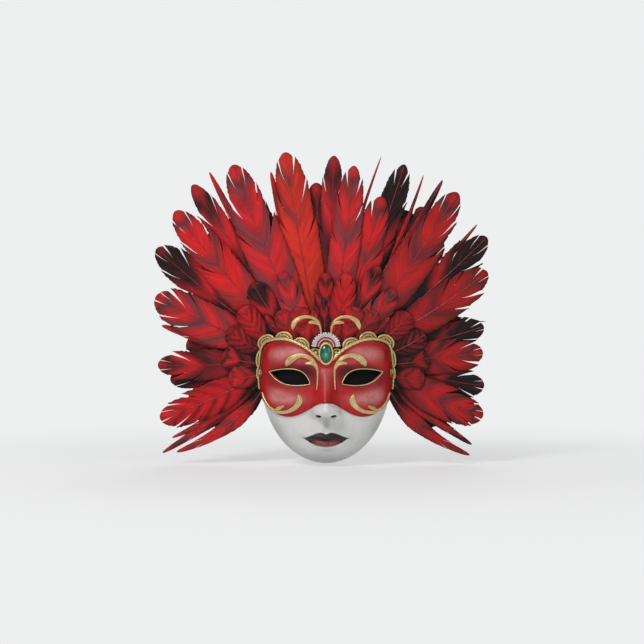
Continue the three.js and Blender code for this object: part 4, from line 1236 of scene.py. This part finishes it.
def feather(row, seed, root_out=None, pitch=2.3, fine=9, cup=1.0, split=True):
    """One feather: its vane and shaft, with layers for dyes, painted shade and strands."""
    tip_x, tip_z, root_angle, width, bow, layer, pattern = row
    rng = np.random.default_rng(seed)
    angle = math.radians(root_angle)
    out = band_inner(angle) + 3 if root_out is None else root_out
    root = out * np.array([math.cos(angle), math.sin(angle)])
    tip = np.array([tip_x, tip_z], float)
    straight = (tip - root) / np.linalg.norm(tip - root)
    left = np.array([-straight[1], straight[0]])
    bend = lerp(root, tip, 0.45) + left * 2 * bow

    def spine(t):
        t = np.asarray(t, float)[..., None]
        return (1 - t) ** 2 * root + 2 * (1 - t) * t * bend + t**2 * tip

    def normal(t):
        t = np.asarray(t, float)[..., None]
        d = 2 * (1 - t) * (bend - root) + 2 * t * (tip - bend)
        d /= np.linalg.norm(d, axis=-1, keepdims=True)
        return np.stack([-d[..., 1], d[..., 0]], axis=-1)

    length = lengths(spine(np.linspace(0, 1, 60)))[-1]
    splits = {side: fingers(rng, width, length) if split else [] for side in (-1, 1)}
    base = np.linspace(0.02, 0.997, max(26, int(length / pitch)))
    at = np.concatenate([base, *[[t, t + 2e-4] for s in splits.values() for t, _, _ in s]])
    at = np.sort(at)
    across = np.linspace(-1, 1, 2 * fine - 1)
    t0, s = np.meshgrid(at, across, indexing="ij")
    side, share = np.sign(s), np.abs(s)
    reach_out = lerp(1.5, 2.7, smooth((t0 - 0.45) / 0.35)) * width / (2 * length)
    advance = (1 - t0) * (1 - np.exp(-reach_out / np.maximum(1 - t0, 1e-4)))
    ends = t0 + advance
    t = t0 + advance * share**1.12
    lateral = outline_share(ends) * width / 2 * share**0.92
    if width < 23:
        lateral *= lerp(1.15, 0.42, smooth((ends - 0.3) / 0.65))
    for sign, cuts in splits.items():
        here = side == sign
        for place, start, keep in cuts:
            after = t0 > place + 1e-4
            spread = smooth((share - start) / (1 - start))
            lateral = np.where(here & after, lateral * lerp(1, keep, spread), lateral)
            before = here & ~after
            flare = 1 + 0.03 * spread * np.exp(-np.maximum(place - t0, 0) / 0.05)
            lateral = np.where(before, lateral * flare, lateral)
    jag = 1 + 0.022 * rng.standard_normal((len(at), 2))
    lateral *= np.where(share > 0.99, np.where(side < 0, jag[:, :1], jag[:, 1:]), 1)
    middle, n = spine(t), normal(t)
    x = middle[..., 0] + n[..., 0] * side * lateral
    z = middle[..., 1] + n[..., 1] * side * lateral
    ripple = 0.25 * wander(t0 * 9, seed + 5) * share
    y = fan_y(x, z, layer) + cup * share**2 * smooth(t * 4) + ripple
    points = np.stack([x, y, z], axis=-1).reshape(-1, 3)
    faces = grid_faces(len(at), len(across))
    column, row_low = faces[:, 0] // len(across), faces[:, 0] % len(across)
    middle_s = (across[row_low] + across[row_low + 1]) / 2
    kept = np.ones(len(faces), bool)
    for sign, cuts in splits.items():
        for place, start, _ in cuts:
            k = np.searchsorted(at, place + 1e-4) - 1
            kept &= ~((column == k) & (np.sign(middle_s) == sign) & (np.abs(middle_s) > start))
    vane = skin(points, faces[kept], np.array([0.0, VANE_THICKNESS, 0.0]))
    shown = lerp(t0, t, smooth((t - 0.86) / 0.12))
    dye_and_shade, warm = dye_and_shade_shares(pattern, shown.ravel(), s.ravel(), x.ravel(), z.ravel(), seed)
    strand = np.stack([t0.ravel() * length * MM, s.ravel(), np.full(t0.size, seed % 17 / 17)], axis=1)
    shaft_t = np.linspace(0, 0.985, 40)
    line = spine(shaft_t)
    shaft_y = fan_y(line[:, 0], line[:, 1], layer) - 0.12
    radius = lerp(1.25, 0.28, shaft_t**0.8) * (0.75 + width / 160)
    shaft = tube(np.column_stack([line[:, 0], shaft_y, line[:, 1]]), radius, 8)
    points, groups = joined([vane, shaft])
    plain = np.zeros((len(shaft[0]), 3))
    layers = {
        "dye_and_shade": np.vstack([dye_and_shade, dye_and_shade, plain]),
        "strand": np.vstack([strand, strand, plain]),
        "warm": np.concatenate([warm, warm, plain[:, 0]]),
    }
    return points, groups, layers, second_material(groups, len(vane[0]))


def dye_and_shade_shares(pattern, t0, s, x, z, seed):
    """Shares of bright, mauve and black at each point of a vane: the dyes, plus painted shade near the roots, at
    the edges and towards the right.
    """
    rng = np.random.default_rng(seed + 100)
    share = np.abs(s)
    u = t0 + 0.016 * wander(s * 3, seed + 1) + rng.uniform(-0.02, 0.02)
    side_gain = np.where(s < 0, rng.uniform(0.6, 1.1), rng.uniform(0.6, 1.1))
    channels = []
    for k, (level, bands) in enumerate(PATTERNS[pattern]):
        value = np.full_like(u, level) + 0.12 * wander(u * 5 + s, seed + 7 + k)
        for place, spread, amount in bands:
            gain = side_gain if k else 1.0
            width = spread * (0.9 + 0.3 * share)
            value += amount * gain * np.exp(-(((u - place) / width) ** 2))
        channels.append(value)
    radius, angle = np.hypot(x, z), np.degrees(np.arctan2(z, np.abs(x)))
    # Painted shade: more black near the roots beside the mask, at the vane edges and towards the right side, and
    # less bright at the edges and on the right.
    root = np.exp(-(((radius - 76) / 24) ** 2))
    shadow = 0.22 * smooth((x - 10) / 130)
    channels[2] = channels[2] + 0.75 * root * smooth((72 - angle) / 40) + 0.35 * share**5 + shadow
    channels[0] = channels[0] - 0.3 * share**4 - 1.2 * shadow
    warm = WARMTH.get(pattern, 0.0) * (0.7 + 0.3 * wander(u * 4, seed + 11))
    return clamp(np.stack(channels, axis=1)), clamp(warm)


def make_named_feathers():
    for i, row in enumerate(FEATHERS):
        number = f"{i + 1:02d}"
        points, groups, layers, which = feather(row, 40 + i * 13)
        slot = "feather_dark" if row[6] in ("night", "dusk", "barred_dark") else "feather_red"
        name = f"plume_{number}"
        piece(name, points, groups, [PLUME, QUILL], f"feather_{number}", slot, layers, which=which)


def make_group(name, rows, seed, **settings):
    made = [feather(row, seed + 7 * i, **settings) for i, row in enumerate(rows)]
    points, groups = joined([(m[0], m[1]) for m in made])
    layers = {key: np.concatenate([m[2][key] for m in made]) for key in made[0][2]}
    parts = {}
    for _, faces, _, own in made:
        for g, part in zip(faces, np.split(own, np.cumsum([len(g) for g in faces])[:-1])):
            parts.setdefault(g.shape[1], []).append(part)
    which = np.concatenate([part for g in groups for part in parts[g.shape[1]]])
    piece(name, points, groups, [PLUME, QUILL], (), "feather_red", layers, which=which)


def silhouette(angle):
    """Reach of the long feathers at an angle in degrees."""
    long_ones = [(math.degrees(math.atan2(r[1], r[0])) % 360, math.hypot(r[0], r[1])) for r in FEATHERS[:29]]
    long_ones = sorted(((a - 360 if a > 270 else a), d) for a, d in long_ones)
    return np.interp(angle, [a for a, _ in long_ones], [d for _, d in long_ones])


def fillers(seed, angles, low, high, width, layer, patterns):
    rng = np.random.default_rng(seed)
    rows = []
    for i, angle in enumerate(angles):
        angle = angle + rng.uniform(-2.5, 2.5)
        out = silhouette(angle) * rng.uniform(low, high)
        a = math.radians(angle)
        lean = (90 - angle) * 0.06
        wide = width * rng.uniform(0.85, 1.15)
        bow = (angle - 90) / 90 * rng.uniform(2, 6)
        step = layer + 0.24 * (i % 3)
        root = angle + lean + rng.uniform(-2, 2)
        rows.append((out * math.cos(a), out * math.sin(a), root, wide, bow, step, patterns[i % len(patterns)]))
    return rows


make_named_feathers()
behind = fillers(3, np.linspace(-14, 194, 24), 0.78, 0.90, 44, 5.35, ["dusk", "crimson", "night", "crimson"])
make_group("filler_back", behind, 500, pitch=3.0, fine=8)
deepest = fillers(21, np.linspace(-16, 196, 28), 0.68, 0.82, 46, 6.5, ["dusk", "night", "crimson"])
make_group("filler_deep", deepest, 700, split=False, pitch=3.4, fine=7, cup=0.2)
between = fillers(8, np.linspace(-6, 186, 15), 0.66, 0.78, 44, 4.35, ["crimson", "dusk", "flame", "night"])
make_group("filler_middle", between, 900, pitch=2.8, fine=8)

# Thin curling plumes at the fan's edge, and short ones close to the mask.
WISPS = [
    (122, 253, 66, 9, -9, 4.6, "crimson"),
    (190, 192, 45, 12, -5, 4.6, "crimson"),
    (-194, 200, 142, 4, 6, 5.2, "crimson"),
    (69, 276, 76, 7, 8, 4.5, "crimson"),
    (204, 70, 26, 5, 10, 4.5, "dusk"),
    (-196, -78, 178, 16, 8, 3.6, "crimson"),
    (176, -78, 3, 16, -8, 3.6, "flame"),
]
HACKLES = [
    (-106, 88, 148, 30, 3, 0.4, "barred"),
    (106, 80, 34, 30, -3, 0.4, "barred"),
    (-124, 60, 158, 30, 3, 0.9, "barred_dark"),
    (126, 54, 21, 30, -3, 0.9, "barred_dark"),
    (-132, 28, 168, 32, 3, 1.2, "dusk"),
    (132, 24, 12, 32, -3, 1.2, "dusk"),
    (-92, 118, 134, 32, 2, 1.0, "night"),
    (66, 140, 66, 30, -1, 0.9, "dusk"),
    (-124, 0, 177, 28, 3, 0.8, "crimson"),
    (126, -2, 3, 28, -3, 0.8, "crimson"),
]
TUFTS = [
    (-3, 100, 91, 17, 0, -0.3, "night"),
    (-16, 84, 102, 20, 0, -0.45, "crimson"),
    (17, 84, 78, 20, 0, -0.45, "crimson"),
    (-36, 88, 116, 26, 1, -0.5, "crimson"),
    (38, 88, 64, 26, -1, -0.5, "crimson"),
    (-58, 84, 128, 24, 2, -0.3, "flame"),
    (62, 84, 52, 24, -2, -0.3, "flame"),
    (-76, 78, 138, 22, 2, -0.2, "barred"),
    (80, 76, 42, 22, -2, -0.2, "barred"),
]
make_group("wisps", WISPS, 1300, pitch=2.4, fine=6)
make_group("hackles", HACKLES, 1500, pitch=2.0, fine=8)
make_group("tufts", TUFTS, 1700, root_out=46.0, pitch=1.8, fine=7, cup=0.5)

# ------------------------------------------------------- band, pad, eye screens


def strip(start, count, inset, width, gap_behind, thickness, rounded):
    """A strip behind the roots, with a rounded or a flat section."""
    angles = np.radians(np.linspace(start, 180 - start, count))
    inner = band_inner(angles) + inset
    if rounded:
        turn = np.linspace(0, 2 * math.pi, 28, endpoint=False)
        c, s = np.cos(turn), np.sin(turn)
        share = 0.5 + 0.5 * np.sign(c) * np.abs(c) ** 0.62
        depth = 0.5 + 0.5 * np.sign(s) * np.abs(s) ** 0.55
    else:
        share = np.array([0, 0.06, 0.5, 0.94, 1, 1, 0.94, 0.5, 0.06, 0])
        depth = np.array([0.25, 0, 0, 0, 0.25, 0.75, 1, 1, 1, 0.75])
    out = inner[:, None] + width * share
    x, z = out * np.cos(angles)[:, None], out * np.sin(angles)[:, None]
    swell = 1 + (0.05 * np.sin(np.arange(count) * 0.55)[:, None] if rounded else 0)
    end = np.minimum(np.arange(count), np.arange(count)[::-1]) / 6
    taper = np.sqrt(clamp(end * 0.85 + 0.15))[:, None] if rounded else 1.0
    y = fan_y(x, z, FAN_LAYERS - 1) + gap_behind + thickness * (0.5 + (depth - 0.5) * swell * taper)
    return loft(np.stack([x, y, z], axis=-1))


def stitches(inset, y_behind, start, step=4.2):
    shapes = []
    for turn in np.arange(start, 180 - start, step * 0.62):
        pair_of = np.radians([turn, turn + step * 0.34])
        out = band_inner(pair_of) + inset
        x, z = out * np.cos(pair_of), out * np.sin(pair_of)
        y = fan_y(x, z, FAN_LAYERS - 1) + y_behind
        ends = np.column_stack([x, y, z])
        middle = ends.mean(axis=0) + [0, 0.35, 0]
        shapes.append(tube(np.array([ends[0], middle, ends[1]]), 0.34, 6))
    return shapes


back_of_band = 1.4 + BAND["thickness"]
piece(
    "buckram_band",
    *strip(BAND["foot"], 200, 0, BAND["width"], 1.4, BAND["thickness"], False),
    BUCKRAM,
    "feather_band",
    "buckram",
)
sewn = [s for inset in (2.2, BAND["width"] - 2.2) for s in stitches(inset, back_of_band - 0.05, BAND["foot"] + 2)]
piece("band_stitches", *joined(sewn), STITCH, (), "buckram")
pad = piece(
    "brow_pad",
    *strip(PAD["from"], 90, PAD["inset"], PAD["width"], back_of_band + 3 * GAP, PAD["thickness"], True),
    JERSEY,
    "forehead_pad",
    "foam",
)


# The eye opening and the margin that is glued behind it.
screen_line = eye_outline(1.17, 200)


def eye_screen():
    def at(height):
        return lambda x, z, inside: on_face(x, z, np.full_like(x, height))

    front = -SHELL - 2 * GAP
    return sheet_over(screen_line, tuple(EYE_CENTRE), 96, 16, 16, at(front), at(front - NET_THICKNESS))


for side, shape in sides_of(eye_screen()):
    net = piece(f"eye_net_{side}", *shape, NET, f"eye_screen_{side}", "black_net")


def wrapped(columns, rows):
    c, r = [a.ravel() for a in np.meshgrid(np.arange(columns), np.arange(rows - 1), indexing="ij")]
    d = (c + 1) % columns
    return np.column_stack([r * columns + c, r * columns + d, (r + 1) * columns + d, (r + 1) * columns + c])


def nostril_shade_patch():
    """A black patch behind a nostril that paints the shade inside the hole."""
    line = nostril()
    centre = line.mean(axis=0)
    rings = []
    for share in (0.1, 0.5, 1.0, 1.45):
        x, z = (centre + (line - centre) * share).T
        rings.append(np.column_stack([x, np.full(len(x), face_y(*centre) + 4.6 + share * 0.4), z]))
    points = np.vstack(rings)
    return skin(points, wrapped(len(line), len(rings)), np.array([0.0, 0.5, 0.0]))


# Black patches behind the nostrils stand in for the shade inside them.
shade_patches = joined([nostril_shade_patch(), mirrored(nostril_shade_patch())])
piece("nose_shade_patch", *shade_patches, SHADE_BLACK_PAPER, (), "white_paper")

seat = TOP + 2 * GAP
eyelet_profile = [
    (EYELET["hole"], -SHELL - 2.2),
    (EYELET["barrel"], -SHELL - 2.2),
    (EYELET["barrel"], seat),
    (EYELET["flange"], seat),
    (EYELET["flange"], seat + 0.3),
    (EYELET["flange"] - 0.4, seat + 0.65),
    (EYELET["flange"] - 1.2, seat + EYELET["plate"]),
    (EYELET["hole"] + 0.9, seat + EYELET["plate"]),
    (EYELET["hole"] + 0.3, seat + 0.55),
    (EYELET["hole"], seat + 0.1),
]
washer_front = -SHELL - 1.4
washer_profile = [
    (EYELET["barrel"] + GAP, washer_front - EYELET["plate"]),
    (EYELET["flange"] - 0.3, washer_front - EYELET["plate"]),
    (EYELET["flange"], washer_front - EYELET["plate"] + 0.2),
    (EYELET["flange"], washer_front),
    (EYELET["barrel"] + GAP, washer_front),
]
for name, profile in (("eyelet", eyelet_profile), ("washer", washer_profile)):
    made = about_eyelet(profile)
    for side, shape in sides_of(made):
        piece(f"{name}_{side}_brass", *shape, BRASS, f"{name}_{side}", "brass", sharp=35)

# ------------------------------------------------------ camera, light and floor
camera = bpy.data.objects.new("camera", bpy.data.cameras.new("camera"))
camera.data.lens, camera.data.sensor_width = 85, 36
camera.location = (-0.005, -1.935, 0.0694)
camera.rotation_euler = (math.radians(90), 0, 0)
scene.collection.objects.link(camera)
scene.camera = camera
scene.view_settings.view_transform = "Standard"

BACKGROUND = (0.855, 0.86, 0.865)


def make_world():
    """A pale backdrop to look at, and softer light from above than from the front."""
    world = bpy.data.worlds.new("studio")
    world.use_nodes = True
    tree = world.node_tree
    tree.nodes.clear()

    def add(kind, **settings):
        node = tree.nodes.new("ShaderNode" + kind)
        for key, value in settings.items():
            setattr(node, key, value)
        return node

    place, split, fit = add("TexCoord"), add("SeparateXYZ"), add("MapRange")
    tree.links.new(place.outputs["Generated"], split.inputs[0])
    tree.links.new(split.outputs[2], fit.inputs[0])
    for socket, value in zip((1, 2, 3, 4), (-0.3, 1.0, 0.16, 0.42)):
        fit.inputs[socket].default_value = value
    seen, lit, both = add("Background"), add("Background"), add("MixShader")
    seen.inputs[0].default_value = (*BACKGROUND, 1)
    lit.inputs[0].default_value = (0.98, 0.99, 1.0, 1)
    tree.links.new(fit.outputs[0], lit.inputs[1])
    tree.links.new(add("LightPath").outputs["Is Camera Ray"], both.inputs[0])
    tree.links.new(lit.outputs[0], both.inputs[1])
    tree.links.new(seen.outputs[0], both.inputs[2])
    tree.links.new(both.outputs[0], add("OutputWorld").inputs[0])
    scene.world = world


make_world()


def area_light(name, place, target, power, size):
    data = bpy.data.lights.new(name, "AREA")
    data.energy, data.size = power, size
    obj = bpy.data.objects.new(name, data)
    obj.location = place
    aim = np.asarray(target, float) - np.asarray(place, float)
    obj.rotation_euler = (
        math.acos(-aim[2] / np.linalg.norm(aim)),
        0,
        math.atan2(aim[1], aim[0]) - math.pi / 2,
    )
    scene.collection.objects.link(obj)


area_light("key", (-1.0, -1.5, 1.5), (0, 0, 0.06), 26, 0.5)
area_light("fill", (1.7, -1.6, 0.7), (0, 0, 0.05), 7, 1.2)
area_light("rim", (0.3, 1.5, 1.6), (0, 0, 0.1), 11, 1.0)


def make_floor():
    z = cad_box[0][2] - 0.002
    radii = [0, 0.4, 0.9, 1.6, 3, 6, 12, 24]
    turn = np.linspace(0, 2 * math.pi, 64, endpoint=False)
    points = np.vstack([np.column_stack([r * np.cos(turn), r * np.sin(turn), np.full(64, z)]) for r in radii[1:]])
    points = np.vstack([[[0, 0, z]], points])
    j = np.arange(64)
    k = (j + 1) % 64
    faces = [tuple(f) for f in np.column_stack([np.zeros(64, int), 1 + j, 1 + k])]
    for i in range(len(radii) - 2):
        a, b = 1 + i * 64, 1 + (i + 1) * 64
        faces += [tuple(f) for f in np.column_stack([a + j, b + j, b + k, a + k])]
    mesh = bpy.data.meshes.new("floor")
    mesh.from_pydata(points.tolist(), [], [tuple(int(v) for v in f) for f in faces])
    obj = bpy.data.objects.new("floor", mesh)
    scene.collection.objects.link(obj)
    s = Shader("floor", roughness=0.9)
    s.set(Base_Color=s.mix(s.noise(6, 2), (0.86, 0.86, 0.86), (0.89, 0.89, 0.89)))
    distance = s.add("VectorMath", {0: s.place}, out="Value", operation="LENGTH")
    glow = s.add("Emission", {0: (*BACKGROUND, 1), 1: 1.0})
    far = s.fit(distance, 0.1, 0.9, 0.5, 1.0)
    both = s.add("MixShader", {0: far, 1: s.surface.outputs[0], 2: glow})
    s.feed(s.tree.nodes["Material Output"].inputs[0], both)
    mesh.materials.append(s.material)


make_floor()
